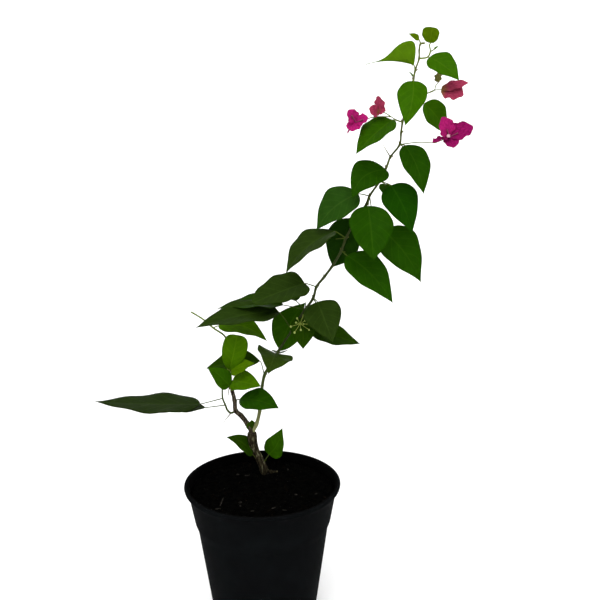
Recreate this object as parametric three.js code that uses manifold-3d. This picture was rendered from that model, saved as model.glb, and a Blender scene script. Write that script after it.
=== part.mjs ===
// A young bougainvillea in its black nursery pot, in millimetres, +Z up. The origin is the middle of the
// pot's flat underside. The plant has a short trunk that forks into a dark, cut-off stub and one long green
// cane, which leans out to +X and carries leaves and papery blossom to its tip.
import * as THREE from "three";
import { mergeVertices } from "three/addons/utils/BufferGeometryUtils.js";
import Module from "manifold-3d";

const wasm = await Module();
wasm.setup();

// ---- driving dimensions -------------------------------------------------------------------------------

const GAP = 0.3; // clear space between one solid and the next

const POT_HEIGHT = 150;
const POT_RIM_RADIUS = 79.5;
const POT_LIP_HEIGHT = 3.5; // depth of the lip's nearly upright side
const POT_LIP_LEAN = 0.6; // how much narrower the lip is at its foot
const POT_LIP_BEVEL = 1;
const POT_MOUTH_FLARE = 1.5; // how far the mouth opens out inside the lip
const POT_COLLAR_TOP = [74.8, 141]; // radius and height where the lip's underside meets the collar
const POT_COLLAR_FOOT = [69.6, 112];
const POT_WALL_TOP = [66.5, 103]; // below the step in the wall
const POT_FOOT_RADIUS = 52.3;
const POT_WALL = 1.4;
const POT_FLOOR = 2;
const POT_SIDES = 40;
const DRAIN_SIDES = 12;
const DRAIN_HOLES = 6;
const DRAIN_RADIUS = 4.5;
const DRAIN_CIRCLE = 38; // radius of the circle that the drain holes stand on

const SOIL_TOP = 141;

const TRUNK_FOOT = [1, 39.5]; // x and y of the trunk where it leaves the soil
const TRUNK_RADIUS = 3.9;
const ROOT_FLARE = 0.9; // how much wider the trunk is at the soil
const FOOT_DEPTH = 6; // how far the trunk runs on before it is cut flat at the soil
const FLARE_REACH = 6; // height over which the flare dies away
const ROOT_LINK = [14, 0, 352]; // the short root that shows on the soil
const ROOT_RADII = [1.9, 1.5];
const FORK_DEPTH = 6; // how far under the fork the trunk is thickest, and the cane and the stub start
const FORK_BULGE = 1.2; // how much wider the trunk is there
const BULGE_REACH = 9; // length over which the bulge dies away
const STUB_RADII = [3, 1.9]; // the cut stub at the fork and at its cut
const CANE_RADII = [1.75, 0.7]; // the cane's even taper, fork to tip
const CANE_SWELL = 0.75; // extra radius where it leaves the fork
const SWELL_REACH = 20;
const SHOOT_RADII = [1.2, 0.8];
const STALK_RADII = [0.8, 0.6]; // a leaf's stalk, at the stem and at the blade
const THORN_RADII = [0.8, 0.25];
const STALK_SUNK = 2; // how far a leaf's stalk reaches into its blade
const TWIG_RADII = [0.9, 0.6]; // a short side twig
const FLOWER_STALK_RADII = [0.6, 0.5];
const PAST_NODE = 3; // each stretch of cane ends this far past its last node

const LEAF_STEPS = [5, 7]; // facets along a small blade and a large one
const LARGE_BLADE = 40;
const STALK_FACETS = { sides: 5, step: 12 };
const THORN_FACETS = { sides: 5, step: 20 };
const BRACT_STEPS = 5;
const BLADE_MIN_THICKNESS = 0.6;
const BLADE_THICKNESS_RATIO = 0.0125; // thickness over length
const BLADE_SHAPE = [0.6, 1.2]; // how round the base is and how drawn-out the tip
const BRACT_SHAPE = [0.55, 0.7];
const FOLD = 12; // degrees that each half of a blade rises from the midrib
const BRACT_FOLD = 8;
const BOSS_RADIUS = 1.6; // the swelling where a flower head's bracts meet
const DROOP = 20; // degrees that a blade bends down from base to tip

// ---- materials ----------------------------------------------------------------------------------------

const finish = (color, roughness) => () => new THREE.MeshStandardMaterial({ color, roughness });
const blackPlastic = finish(0x17191b, 0.45);
const peat = finish(0x17130f, 0.95);
const greyBark = finish(0x6d6a50, 0.85);
const brownBark = finish(0x3f3a2c, 0.85);
const greenBark = finish(0x6f7d3c, 0.6);
const darkLeaf = finish(0x2f5a16, 0.45);
const youngLeaf = finish(0x6a9a12, 0.45);

// ---- making and joining solids ------------------------------------------------------------------------

const radians = THREE.MathUtils.degToRad;

// The unit direction with a pitch above the level and a bearing, 0 towards +X and 90 towards +Y.
function heading(pitch, bearing) {
  const level = Math.cos(radians(pitch));
  return new THREE.Vector3(
    level * Math.cos(radians(bearing)),
    level * Math.sin(radians(bearing)),
    Math.sin(radians(pitch)),
  );
}

// A manifold solid from a closed three.js geometry.
function solid(geometry) {
  geometry.deleteAttribute("normal");
  geometry.deleteAttribute("uv");
  const merged = mergeVertices(geometry, 1e-4);
  const vertProperties = new Float32Array(merged.attributes.position.array);
  return new wasm.Manifold(
    new wasm.Mesh({ numProp: 3, vertProperties, triVerts: new Uint32Array(merged.index.array) }),
  );
}

const join = (solids) => solids.reduce((whole, next) => whole.add(next));

// A named mesh from a manifold solid.
function meshOf(name, made, material) {
  const { vertProperties, triVerts } = made.getMesh();
  const geometry = new THREE.BufferGeometry();
  geometry.setAttribute("position", new THREE.BufferAttribute(vertProperties, 3));
  geometry.setIndex(new THREE.BufferAttribute(triVerts, 1));
  geometry.computeVertexNormals();
  const mesh = new THREE.Mesh(geometry, material());
  mesh.name = name;
  return mesh;
}

// Moves every vertex of a geometry to place(x, y, z).
function reshape(geometry, place) {
  const position = geometry.attributes.position;
  for (let i = 0; i < position.count; i++) {
    const p = place(position.getX(i), position.getY(i), position.getZ(i));
    position.setXYZ(i, p.x, p.y, p.z);
  }
  return geometry;
}

// ---- growing stems ------------------------------------------------------------------------------------

// The nodes reached from a start by links of [length, pitch, bearing].
function grow(start, links) {
  const nodes = [start.clone()];
  for (const [length, pitch, bearing] of links) {
    nodes.push(nodes.at(-1).clone().addScaledVector(heading(pitch, bearing), length));
  }
  return nodes;
}

// A smooth stem through its nodes, with the length along it at each node.
function stemThrough(nodes) {
  const curve = new THREE.CatmullRomCurve3(nodes, false, "centripetal");
  const spans = nodes.length - 1;
  curve.arcLengthDivisions = spans * 40;
  const lengths = curve.getLengths();
  return { curve, nodes, reach: nodes.map((_, i) => lengths[i * 40]), length: lengths.at(-1) };
}

// A limb: a cylinder bent along a stem from one length to another, with a radius for each length.
function limb(stem, from, to, radiusAt, { sides = 8, step = 7 } = {}) {
  const steps = Math.max(1, Math.round((to - from) / step));
  const along = stem.nodes.at(-1).clone().sub(stem.nodes[0]);
  const [x, y] = Math.abs(along.y) < 0.7 * along.length() ? [0, 1] : [1, 0];
  const reference = new THREE.Vector3(x, y, 0);
  return solid(
    reshape(new THREE.CylinderGeometry(1, 1, 1, sides, steps), (px, py, pz) => {
      const length = from + (py + 0.5) * (to - from);
      const u = THREE.MathUtils.clamp(length / stem.length, 0, 1);
      const tangent = stem.curve.getTangentAt(u);
      const across = reference.clone().addScaledVector(tangent, -reference.dot(tangent)).normalize();
      const beside = new THREE.Vector3().crossVectors(across, tangent);
      const radius = radiusAt(length);
      return stem.curve
        .getPointAt(u)
        .addScaledVector(tangent, length - u * stem.length)
        .addScaledVector(across, px * radius)
        .addScaledVector(beside, pz * radius);
    }),
  );
}

const taper = ([wide, narrow], length) => (at) => wide + (narrow - wide) * (at / length);

// A whole stem as one limb of even taper.
function taperedLimb(nodes, radii, options) {
  const stem = stemThrough(nodes);
  return limb(stem, 0, stem.length, taper(radii, stem.length), options);
}

// ---- leaves and blossom -------------------------------------------------------------------------------

// A blade: a flat box given the outline of a leaf, folded along its midrib and bent down to its tip.
// size is [length, width] and lie is [pitch, bearing, roll], with roll turning it about its midrib. bow is
// how far the midrib swings out to one side between base and tip, over the blade's length.
function blade(base, size, lie, options = {}) {
  const [length, width] = size;
  const leafSteps = LEAF_STEPS[length < LARGE_BLADE ? 0 : 1];
  const { fold = FOLD, droop = DROOP, bow = 0, shape = BLADE_SHAPE, steps = leafSteps } = options;
  const [pitch, bearing, roll] = lie;
  const ahead = heading(pitch, bearing);
  const level = new THREE.Vector3(-Math.sin(radians(bearing)), Math.cos(radians(bearing)), 0);
  const face = new THREE.Vector3().crossVectors(ahead, level);
  const side = level.clone().applyAxisAngle(ahead, radians(roll));
  face.applyAxisAngle(ahead, radians(roll));
  const thickness = Math.max(BLADE_MIN_THICKNESS, BLADE_THICKNESS_RATIO * length);
  const bend = radians(droop);
  const [round, drawn] = shape;
  const widest = round / (round + drawn);
  const outline = (t) => (t / widest) ** round * ((1 - t) / (1 - widest)) ** drawn;
  return solid(
    reshape(new THREE.BoxGeometry(1, 1, 1, steps, 2, 1), (x, y, z) => {
      const even = x + 0.5;
      const t = THREE.MathUtils.clamp(even - 0.1 * Math.sin(2 * Math.PI * even), 0.005, 0.985);
      const half = (width / 2) * outline(t);
      const turn = bend * (0.5 - t);
      const run = (length / bend) * (Math.sin(bend / 2) - Math.sin(turn));
      const rise = (length / bend) * (Math.cos(turn) - Math.cos(bend / 2));
      const lift = Math.abs(2 * y) * half * Math.sin(radians(fold)) + z * thickness;
      return base
        .clone()
        .addScaledVector(ahead, run - lift * Math.sin(turn))
        .addScaledVector(face, rise + lift * Math.cos(turn))
        .addScaledVector(side, 2 * y * half * Math.cos(radians(fold)) + 4 * bow * length * t * (1 - t));
    }),
  );
}

// A leaf on its stalk: { stalk: [length, pitch, bearing], size, lie } and any of the blade's options. The
// stalk ends inside the blade.
function leaf(node, { stalk, size, lie, ...options }) {
  const base = grow(node, [stalk]).at(-1);
  const inside = base.clone().addScaledVector(heading(lie[0], lie[1]), STALK_SUNK);
  return [taperedLimb([node, inside], STALK_RADII, STALK_FACETS), blade(base, size, lie, options)];
}

// Flower heads on a shared stalk. Each has its own stalks and, round one point, its papery bracts, which
// are given like a leaf's blade.
function bloom(node, { stalks, heads }) {
  const shared = grow(node, stalks);
  return [
    taperedLimb(shared, FLOWER_STALK_RADII, STALK_FACETS),
    ...heads.flatMap((head) => {
      const own = grow(shared.at(-1), head.stalks);
      const centre = own.at(-1);
      const boss = solid(new THREE.SphereGeometry(BOSS_RADIUS, 6, 4)).translate(centre.toArray());
      const bracts = head.bracts.map(({ size, lie }) =>
        blade(centre, size, lie, { shape: BRACT_SHAPE, steps: BRACT_STEPS, fold: BRACT_FOLD }),
      );
      return [taperedLimb(own, FLOWER_STALK_RADII, STALK_FACETS), boss, ...bracts];
    }),
  ];
}

const thorn = (node, link) => taperedLimb(grow(node, [link]), THORN_RADII, THORN_FACETS);

// ---- the pot and its soil -----------------------------------------------------------------------------

// A solid of revolution about Z from [radius, height] points that start and end on the axis.
function turned(profile, sides) {
  const points = profile.map(([radius, height]) => new THREE.Vector2(radius, height));
  return solid(new THREE.LatheGeometry(points, sides).rotateX(Math.PI / 2));
}

const potOutside = [[POT_FOOT_RADIUS, 0], POT_WALL_TOP, POT_COLLAR_FOOT, POT_COLLAR_TOP];
const inward = ([radius, height], by) => [radius - by, height];
const innerFoot = [POT_FOOT_RADIUS - POT_WALL, POT_FLOOR];
const innerRim = [POT_COLLAR_TOP[0] - POT_WALL + POT_MOUTH_FLARE, POT_HEIGHT];

const potShell = turned(
  [
    [0, 0],
    ...potOutside,
    [POT_RIM_RADIUS - POT_LIP_LEAN, POT_HEIGHT - POT_LIP_HEIGHT],
    [POT_RIM_RADIUS, POT_HEIGHT - POT_LIP_BEVEL],
    [POT_RIM_RADIUS - POT_LIP_BEVEL, POT_HEIGHT],
    innerRim,
    ...potOutside.slice(1).reverse().map((point) => inward(point, POT_WALL)),
    innerFoot,
    [0, POT_FLOOR],
  ],
  POT_SIDES,
);

let potMade = potShell;
for (let i = 0; i < DRAIN_HOLES; i++) {
  const angle = ((i + 0.5) / DRAIN_HOLES) * 2 * Math.PI;
  const drain = new THREE.CylinderGeometry(DRAIN_RADIUS, DRAIN_RADIUS, 3 * POT_FLOOR, DRAIN_SIDES);
  drain.rotateX(Math.PI / 2);
  drain.translate(DRAIN_CIRCLE * Math.cos(angle), DRAIN_CIRCLE * Math.sin(angle), POT_FLOOR / 2);
  potMade = potMade.subtract(solid(drain));
}

// The soil fills the pot to just under its rim. Its top is level, so that the trunk stands on a flat patch.
const soilSide = potOutside.slice(1, 3).map((point) => inward(point, POT_WALL + GAP));
const collarSlope = (POT_COLLAR_TOP[0] - POT_COLLAR_FOOT[0]) / (POT_COLLAR_TOP[1] - POT_COLLAR_FOOT[1]);
const soilTopRadius = POT_COLLAR_FOOT[0] + collarSlope * (SOIL_TOP - POT_COLLAR_FOOT[1]) - POT_WALL - GAP;
const soilMade = turned(
  [
    [0, POT_FLOOR + GAP],
    [POT_FOOT_RADIUS - POT_WALL - GAP, POT_FLOOR + GAP],
    ...soilSide,
    [soilTopRadius, SOIL_TOP],
    [0, SOIL_TOP],
  ],
  POT_SIDES,
);

// ---- the plant's growth -------------------------------------------------------------------------------
// Links are [length, pitch, bearing]. A leaf, bloom or thorn stands at the node that ends link number at.

const TRUNK_LINKS = [
  [10.5, 73, 208],
  [16.5, 68.5, 194],
  [13.5, 74, 197],
  [9.3, 84, 256],
];

const BARE_CANE = [
  [11.5, 64, 349],
  [15.5, 75, 337],
  [21.5, 83, 338],
];

const STUB_LINKS = [
  [11.5, 67, 199],
  [12, 56, 189],
  [7.5, 47, 191],
  [12.5, 80, 245],
  [11.5, 78, 205],
];

// The sprays up the cane, lowest first. Each is a stretch of the cane with the leaves and blossom on it.
const CANE_SPRAYS = [
  {
    name: "cane_spray_1",
    links: [
      [19, 78, 331],
      [15, 61, 347],
      [13, 61, 347],
    ],
    leaves: [
      { at: 1, stalk: [17, 42, 112], size: [60, 31], lie: [-11, 168, -32], shape: [0.95, 1.2] },
      { at: 3, stalk: [10, -20, 80], size: [26, 17], lie: [-15, 85, 0] },
      { at: 3, stalk: [6, 15, 253], size: [44, 38], lie: [-10, 262, -20], droop: 35, shape: [0.42, 1.3] },
    ],
  },
  {
    name: "cane_spray_2",
    links: [
      [15.5, 56, 350],
      [14, 58, 348],
      [12, 60, 346],
      [14, 57, 349],
    ],
    leaves: [
      { at: 2, stalk: [26, 55, 207], size: [84, 46], lie: [-6, 197, -16] },
      { at: 4, stalk: [8, -60, 245], size: [32, 26], lie: [-68, 265, 0] },
      { at: 4, stalk: [11, 25, 90], size: [56, 36], lie: [-62, 190, -50], shape: [1.25, 1.0], bow: -0.05 },
      { at: 4, stalk: [23, 9, 167], size: [66, 38], lie: [-2, 183, -8] },
      { at: 4, stalk: [26, -64, 72], size: [56, 31], lie: [-19, 7, 34], bow: -0.03 },
      { at: 4, stalk: [14, 30, 140], size: [44, 26], lie: [10, 125, 0] },
    ],
  },
  {
    name: "cane_spray_3",
    links: [
      [14.5, 57, 352],
      [12, 73, 344],
      [12.5, 53, 349],
      [13.5, 54, 352],
    ],
    leaves: [
      { at: 1, stalk: [9, -14, 298], size: [46, 38], lie: [-46, 296, 22] },
      { at: 1, stalk: [14, -55, 50], size: [38, 24], lie: [-38, 75, 0] },
      { at: 2, stalk: [14.5, 21, 212], size: [57, 41], lie: [-14, 204, -25], droop: 8, shape: [0.26, 0.6] },
    ],
  },
  {
    name: "cane_spray_4",
    links: [
      [18, 60, 350],
      [13.5, 70, 349],
      [20, 62, 351],
      [17.5, 57, 351],
      [9.5, 68, 343],
    ],
    leaves: [
      { at: 1, stalk: [8, -28, 318], size: [64, 36], lie: [-43, 338, 42], bow: 0.05 },
      { at: 1, stalk: [14, -20, 45], size: [40, 24], lie: [-30, 50, 0] },
      { at: 2, stalk: [16, 30, 214], size: [63, 42], lie: [-35, 205, -8], bow: -0.1 },
      { at: 2, stalk: [14, -10, 140], size: [38, 22], lie: [-15, 150, 0] },
      { at: 3, stalk: [10, 4, 128], size: [53, 37], lie: [-71, 153, -92], shape: [0.75, 1.1], bow: 0.06 },
      { at: 3, stalk: [31, -23, 17], size: [66, 41], lie: [-54, 6, 72], shape: [0.55, 1.3], bow: 0.05 },
      { at: 5, stalk: [12, 12, 200], size: [53, 36], lie: [-41, 180, -52], bow: -0.09 },
      { at: 5, stalk: [12, -45, 256], size: [53, 43], lie: [-64, 279, 0], shape: [0.6, 1.02] },
      { at: 5, stalk: [18, -62, 70], size: [44, 27], lie: [-40, 85, 0] },
    ],
  },
  {
    name: "cane_spray_5",
    links: [
      [17, 56, 354],
      [13.5, 65, 355],
      [11, 69, 353],
    ],
    leaves: [
      { at: 1, stalk: [12, -22, 14], size: [51, 35], lie: [-64, 336, 56], shape: [0.5, 1.3], bow: 0.04 },
      { at: 1, stalk: [12, -20, 60], size: [34, 20], lie: [-50, 60, 0] },
      { at: 3, stalk: [13, -61, 226], size: [44, 31], lie: [-35, 205, -52], bow: -0.19 },
    ],
    thorns: [{ at: 3, link: [19, 55, 205] }],
  },
  {
    name: "flowering_spray",
    links: [
      [14.5, 54, 353],
      [10.5, 84, 333],
      [10, 83, 337],
      [22.5, 77, 349],
    ],
    leaves: [
      { at: 1, stalk: [6, -6, 316], size: [49, 29], lie: [-64, 321, 32], bow: 0.05 },
      { at: 1, stalk: [14, -32, 25], size: [34, 20], lie: [-40, 70, 0] },
      { at: 3, stalk: [12, 12, 212], size: [49, 34], lie: [-37, 207, -18] },
      { at: 4, stalk: [18, -18, 26], size: [39, 26], lie: [-48, 24, 80], bow: 0.04 },
      { at: 4, stalk: [6, -10, 80], size: [26, 15], lie: [-30, 70, 0] },
    ],
    blooms: [
      {
        at: 1,
        stalks: [[17, 6, 357], [15.5, -2, 353]],
        heads: [
          {
            stalks: [[14, 21, 355]],
            bracts: [
              { size: [21, 18], lie: [64, 208, -88] },
              { size: [25, 22], lie: [24, 10, 38] },
              { size: [15, 15], lie: [-36, 282, 10] },
              { size: [18, 16], lie: [-14, 204, -2] },
            ],
          },
        ],
      },
      {
        at: 3,
        stalks: [[9, 22, 194], [3.5, 32, 199]],
        heads: [
          {
            stalks: [[7.5, 30, 180], [5.5, -4, 190]],
            bracts: [
              { size: [16, 15], lie: [79, 262, -46] },
              { size: [11, 9], lie: [11, 302, 48] },
              { size: [12, 12], lie: [22, 214, -76] },
            ],
          },
          {
            stalks: [[16, 0, 188], [18, -15, 190]],
            bracts: [
              { size: [14, 15], lie: [55, 202, -70] },
              { size: [13, 14], lie: [18, 335, 50] },
              { size: [13, 15], lie: [-35, 248, -6] },
              { size: [13, 4], lie: [-50, 196, -20] },
            ],
          },
        ],
      },
      {
        at: 4,
        stalks: [[17, 12, 7]],
        heads: [
          {
            stalks: [[8, 23, 344], [6.5, 4, 342]],
            bracts: [
              { size: [25, 12], lie: [14, 355, 42] },
              { size: [21, 24], lie: [-14, 345, 40] },
            ],
          },
          {
            stalks: [[8, 23, 344], [4.5, 70, 318], [3.5, 50, 0]],
            bracts: [
              { size: [10, 11], lie: [81, 314, 0] },
              { size: [8, 9], lie: [60, 150, 0] },
            ],
          },
        ],
      },
    ],
  },
  {
    name: "tip_spray",
    links: [
      [16.5, 75, 346],
      [8, 81, 359],
      [11.5, 73, 343],
      [7.5, 89, 354],
      [5.5, 76, 312],
      [4, 10, 353],
    ],
    leaves: [
      { at: 1, stalk: [6, -8, 262], size: [45, 29], lie: [-60, 246, 0], bow: 0.07 },
      {
        at: 2, stalk: [5.5, 75, 215], size: [46, 42], lie: [1, 188, 16],
        droop: 36, fold: 60, shape: [1.0, 4.2],
      },
      { at: 2, stalk: [5, -65, 205], size: [6, 3], lie: [45, 190, -40] },
      { at: 5, stalk: [4, 70, 180], size: [11.5, 7], lie: [27, 193, -60] },
    ],
    twigs: [
      {
        at: 3,
        links: [[8, 10, 352], [5, 64, 340], [6, 78, 214]],
        leaves: [
          { at: 1, stalk: [1.5, -20, 330], size: [36, 25], lie: [-35, 330, 44], bow: 0.04 },
          { at: 2, stalk: [4, 30, 340], size: [5, 3], lie: [35, 350, 40] },
          { at: 3, stalk: [2, 60, 20], size: [14, 17], lie: [78, 290, 130], shape: [0.5, 0.3] },
        ],
      },
    ],
  },
];

// The small leaves and shoots below, each rooted at a node of the trunk or of the stub.
const LOW_SPRAYS = [
  {
    name: "base_leaf_left",
    root: ["trunk", 1],
    leaves: [{ at: 0, stalk: [18, 52, 208], size: [36, 19], lie: [40, 197, -46], bow: -0.11 }],
  },
  {
    name: "base_leaf_right",
    root: ["trunk", 1],
    leaves: [{ at: 0, stalk: [15, 58, 340], size: [36, 25], lie: [64, 340, 70], bow: -0.12 }],
  },
  {
    name: "fork_leaf",
    root: ["trunk", 4],
    leaves: [{ at: 0, stalk: [5, 60, 263], size: [13, 11], lie: [75, 283, 12] }],
  },
  {
    name: "stub_leaf",
    root: ["stub", 4],
    leaves: [
      { at: 0, stalk: [8, 21, 318], size: [48, 28], lie: [-1, 329, 34], shape: [0.8, 1.2], bow: 0.04 },
    ],
  },
  {
    name: "lower_left_spray",
    root: ["stub", 3],
    links: [
      [5.5, -14, 202],
      [5.5, 45, 203],
      [6, 71, 210],
      [8, 71, 191],
      [12.5, 85, 268],
    ],
    leaves: [
      { at: 3, stalk: [21, -3, 190], size: [68, 27], lie: [-3, 182, 0], droop: 10, fold: 3 },
      {
        at: 4, stalk: [24, -14, 180], size: [108, 44], lie: [2, 180, -7],
        droop: 6, fold: 3, shape: [0.6, 1.15], bow: 0.05,
      },
      { at: 5, stalk: [12.5, 18, 312], size: [33, 20], lie: [46, 205, -75], bow: -0.05 },
    ],
    thorns: [{ at: 1, link: [15, -48, 200] }],
  },
  {
    name: "young_shoot",
    root: ["stub", 5],
    links: [
      [5.5, 60, 201],
      [7, 75, 326],
      [9.5, 79, 180],
      [16.5, 82, 120],
      [19, 83, 118],
      [16, 39, 176],
      [12, 43, 179],
      [9.5, 35, 180],
      [6, 32, 181],
    ],
    leaves: [
      { at: 2, stalk: [2.5, 5, 323], size: [35, 25], lie: [0, 329, 38], shape: [0.5, 1.1] },
      { at: 3, stalk: [4, 20, 320], size: [30, 19], lie: [24, 335, 44] },
      { at: 3, stalk: [3, 60, 330], size: [41, 26], lie: [74, 325, 130], droop: 40, shape: [0.65, 0.28] },
      { at: 6, stalk: [6, 20, 355], size: [52, 29], lie: [-20, 5, 30], shape: [0.5, 1.0], bow: 0.15 },
    ],
    thorns: [{ at: 1, link: [12, -78, 225] }],
  },
];

// ---- trunk, cane and stub -----------------------------------------------------------------------------

const foot = new THREE.Vector3(...TRUNK_FOOT, SOIL_TOP + GAP);
const trunkNodes = grow(foot, TRUNK_LINKS);
const sunkFoot = foot.clone().addScaledVector(heading(...TRUNK_LINKS[0].slice(1)), -FOOT_DEPTH);
const trunkStem = stemThrough([sunkFoot, ...trunkNodes]);
const flareAt = (at) => ROOT_FLARE * Math.exp(-Math.max(0, at - trunkStem.reach[1]) / FLARE_REACH);
const bulgeAt = (at) => FORK_BULGE * Math.exp(-(((at - trunkStem.length + FORK_DEPTH) / BULGE_REACH) ** 2));
const trunkLimb = (spare) => {
  const radius = (at) => TRUNK_RADIUS + flareAt(at) + bulgeAt(at) + spare;
  return limb(trunkStem, 0, trunkStem.length + spare, radius, { step: 4 });
};
const surfaceRoot = taperedLimb(grow(foot.clone().setZ(foot.z + ROOT_RADII[0]), [ROOT_LINK]), ROOT_RADII);
const underFoot = solid(new THREE.BoxGeometry(60, 60, 20)).translate([foot.x, foot.y, foot.z - 10]);
const trunkMade = trunkLimb(0).add(surfaceRoot).subtract(underFoot);

// The cane and the stub both start on the trunk's axis, under the fork, and are then cut clear of it.
const underFork = trunkStem.curve.getPointAt(1 - FORK_DEPTH / trunkStem.length);
const fork = trunkNodes.at(-1);
const caneNodes = [underFork, ...grow(fork, [...BARE_CANE, ...CANE_SPRAYS.flatMap(({ links }) => links)])];
const cane = stemThrough(caneNodes);
const caneRadius = (at) => taper(CANE_RADII, cane.length)(at) + CANE_SWELL * Math.exp(-at / SWELL_REACH);
const caneStretch = (from, to, { spare = 0, step = 7 } = {}) =>
  limb(cane, from, to, (at) => caneRadius(at) + spare, { step });
const bareCaneEnd = cane.reach[1 + BARE_CANE.length] + PAST_NODE;
const clearOfTrunk = trunkLimb(GAP);
const clearOfCane = caneStretch(0, bareCaneEnd, { spare: GAP });

const stubNodes = grow(fork, STUB_LINKS);
const stub = stemThrough([underFork, ...stubNodes]);
const stubLimb = (spare) => {
  const radius = taper(STUB_RADII, stub.length);
  return limb(stub, 0, stub.length + spare, (at) => radius(at) + spare, { step: 5 });
};
const clearOfStub = stubLimb(GAP);

const parts = new THREE.Group();
parts.add(meshOf("pot", potMade, blackPlastic));
parts.add(meshOf("potting_soil", soilMade, peat));
parts.add(meshOf("trunk", trunkMade, greyBark));
parts.add(meshOf("main_cane", caneStretch(0, bareCaneEnd).subtract(clearOfTrunk), greenBark));
parts.add(meshOf("cut_stub", stubLimb(0).subtract(clearOfTrunk).subtract(clearOfCane), brownBark));

// ---- sprays -------------------------------------------------------------------------------------------

// Everything that stands at the nodes of one spray. A twig is a small spray of its own.
function dressing(nodes, { leaves = [], blooms = [], thorns = [], twigs = [] }) {
  return [
    ...twigs.flatMap(({ at, links, ...growth }) => {
      const twigNodes = grow(nodes[at], links);
      return [taperedLimb(twigNodes, TWIG_RADII, { sides: 5, step: 5 }), ...dressing(twigNodes, growth)];
    }),
    ...leaves.flatMap(({ at, ...form }) => leaf(nodes[at], form)),
    ...blooms.flatMap(({ at, ...form }) => bloom(nodes[at], form)),
    ...thorns.map(({ at, link }) => thorn(nodes[at], link)),
  ];
}

const rootNodes = { trunk: trunkNodes, stub: stubNodes };
for (const { name, root, links = [], ...growth } of LOW_SPRAYS) {
  const [limbName, number] = root;
  const nodes = grow(rootNodes[limbName][number], links);
  const stem = links.length ? [taperedLimb(nodes, SHOOT_RADII, { sides: 6 })] : [];
  const made = join([...stem, ...dressing(nodes, growth)]);
  const free = made.subtract(clearOfTrunk).subtract(clearOfCane).subtract(clearOfStub);
  parts.add(meshOf(name, free, name === "young_shoot" ? youngLeaf : darkLeaf));
}

let nodeNumber = 1 + BARE_CANE.length;
let from = bareCaneEnd + GAP;
for (const { name, links, ...growth } of CANE_SPRAYS) {
  const nodes = caneNodes.slice(nodeNumber, nodeNumber + links.length + 1);
  nodeNumber += links.length;
  const atTip = nodeNumber === caneNodes.length - 1;
  const to = atTip ? cane.length : cane.reach[nodeNumber] + PAST_NODE;
  const made = join([caneStretch(from, to, { step: atTip ? 4 : 7 }), ...dressing(nodes, growth)]);
  parts.add(meshOf(name, made, name === "tip_spray" ? youngLeaf : darkLeaf));
  from = to + GAP;
}

export default parts;
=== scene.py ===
# A young bougainvillea in its black nursery pot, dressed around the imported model. Growth is given in
# millimetres and degrees, by the same rule as the part's source. Meshes are in metres, +Z up.
import math
import random

import bmesh
import bpy
from mathutils import Matrix, Vector


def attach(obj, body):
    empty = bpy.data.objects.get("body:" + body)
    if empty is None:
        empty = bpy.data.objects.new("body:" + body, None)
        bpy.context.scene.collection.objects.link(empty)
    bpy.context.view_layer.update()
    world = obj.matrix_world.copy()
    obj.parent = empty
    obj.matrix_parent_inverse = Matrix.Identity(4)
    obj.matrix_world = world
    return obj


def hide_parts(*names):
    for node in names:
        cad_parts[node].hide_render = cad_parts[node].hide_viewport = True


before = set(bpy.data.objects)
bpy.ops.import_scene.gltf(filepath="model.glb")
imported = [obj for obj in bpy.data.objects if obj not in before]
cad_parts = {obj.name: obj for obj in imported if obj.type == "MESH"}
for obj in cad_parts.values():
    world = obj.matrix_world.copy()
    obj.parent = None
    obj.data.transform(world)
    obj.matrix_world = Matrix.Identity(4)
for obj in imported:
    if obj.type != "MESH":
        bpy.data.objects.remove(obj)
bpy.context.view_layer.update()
MM = 0.001


# ---- camera ----
# It stands level with the plant's tip and looks down a little, as someone standing at a bench would.

CAMERA_PLACE = (0.040254, -0.84393, 0.553896)
CAMERA_DOWN = 14.192
CAMERA_ROLL = -0.6
LENS_MM = 54
SENSOR_MM = 36

camera_data = bpy.data.cameras.new("camera")
camera_data.lens = LENS_MM
camera_data.sensor_width = SENSOR_MM
camera_data.clip_start = 0.02
camera = bpy.data.objects.new("camera", camera_data)
bpy.context.scene.collection.objects.link(camera)
camera.matrix_world = (
    Matrix.Translation(CAMERA_PLACE)
    @ Matrix.Rotation(math.radians(90 - CAMERA_DOWN), 4, "X")
    @ Matrix.Rotation(math.radians(CAMERA_ROLL), 4, "Z")
)
bpy.context.scene.camera = camera


# ---- studio ----
# A white seamless floor that curves up into a low wall all round, open to a pale soft sky above. A broad
# soft lamp stands over the viewer's left shoulder.

STUDIO_RADIUS = 2.6
STUDIO_SWEEP = 0.9  # radius of the curve between floor and wall
STUDIO_WALL_TOP = 1.7
STUDIO_SIDES = 64
SWEEP_STEPS = 10
SKY_STRENGTH = 1.1
LAMP_STRENGTH = 1.7
LAMP_SPREAD = 40  # degrees across, which makes its shadows soft
LAMP_DOWN = 52
LAMP_BEARING = 260  # where the lamp stands, 270 being the viewer's side


def linear(colour):
    """An sRGB hex colour as linear red, green, blue and alpha."""
    channels = [int(colour[i : i + 2], 16) / 255 for i in (1, 3, 5)]
    return (*[c / 12.92 if c <= 0.04045 else ((c + 0.055) / 1.055) ** 2.4 for c in channels], 1.0)


def feed(tree, node, inputs):
    """Sets a node's inputs to values, or links them to what other nodes give."""
    for socket, value in inputs.items():
        if isinstance(value, bpy.types.Node):
            value = value.outputs[0]
        if isinstance(value, bpy.types.NodeSocket):
            tree.links.new(value, node.inputs[socket])
        else:
            node.inputs[socket].default_value = value


def add(tree, kind, inputs=None, **settings):
    """A new node with its settings and inputs. It is a shader node, unless its kind says otherwise."""
    node = tree.nodes.new(kind if "Node" in kind else "ShaderNode" + kind)
    for name, value in settings.items():
        setattr(node, name, value)
    feed(tree, node, inputs or {})
    return node


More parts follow.
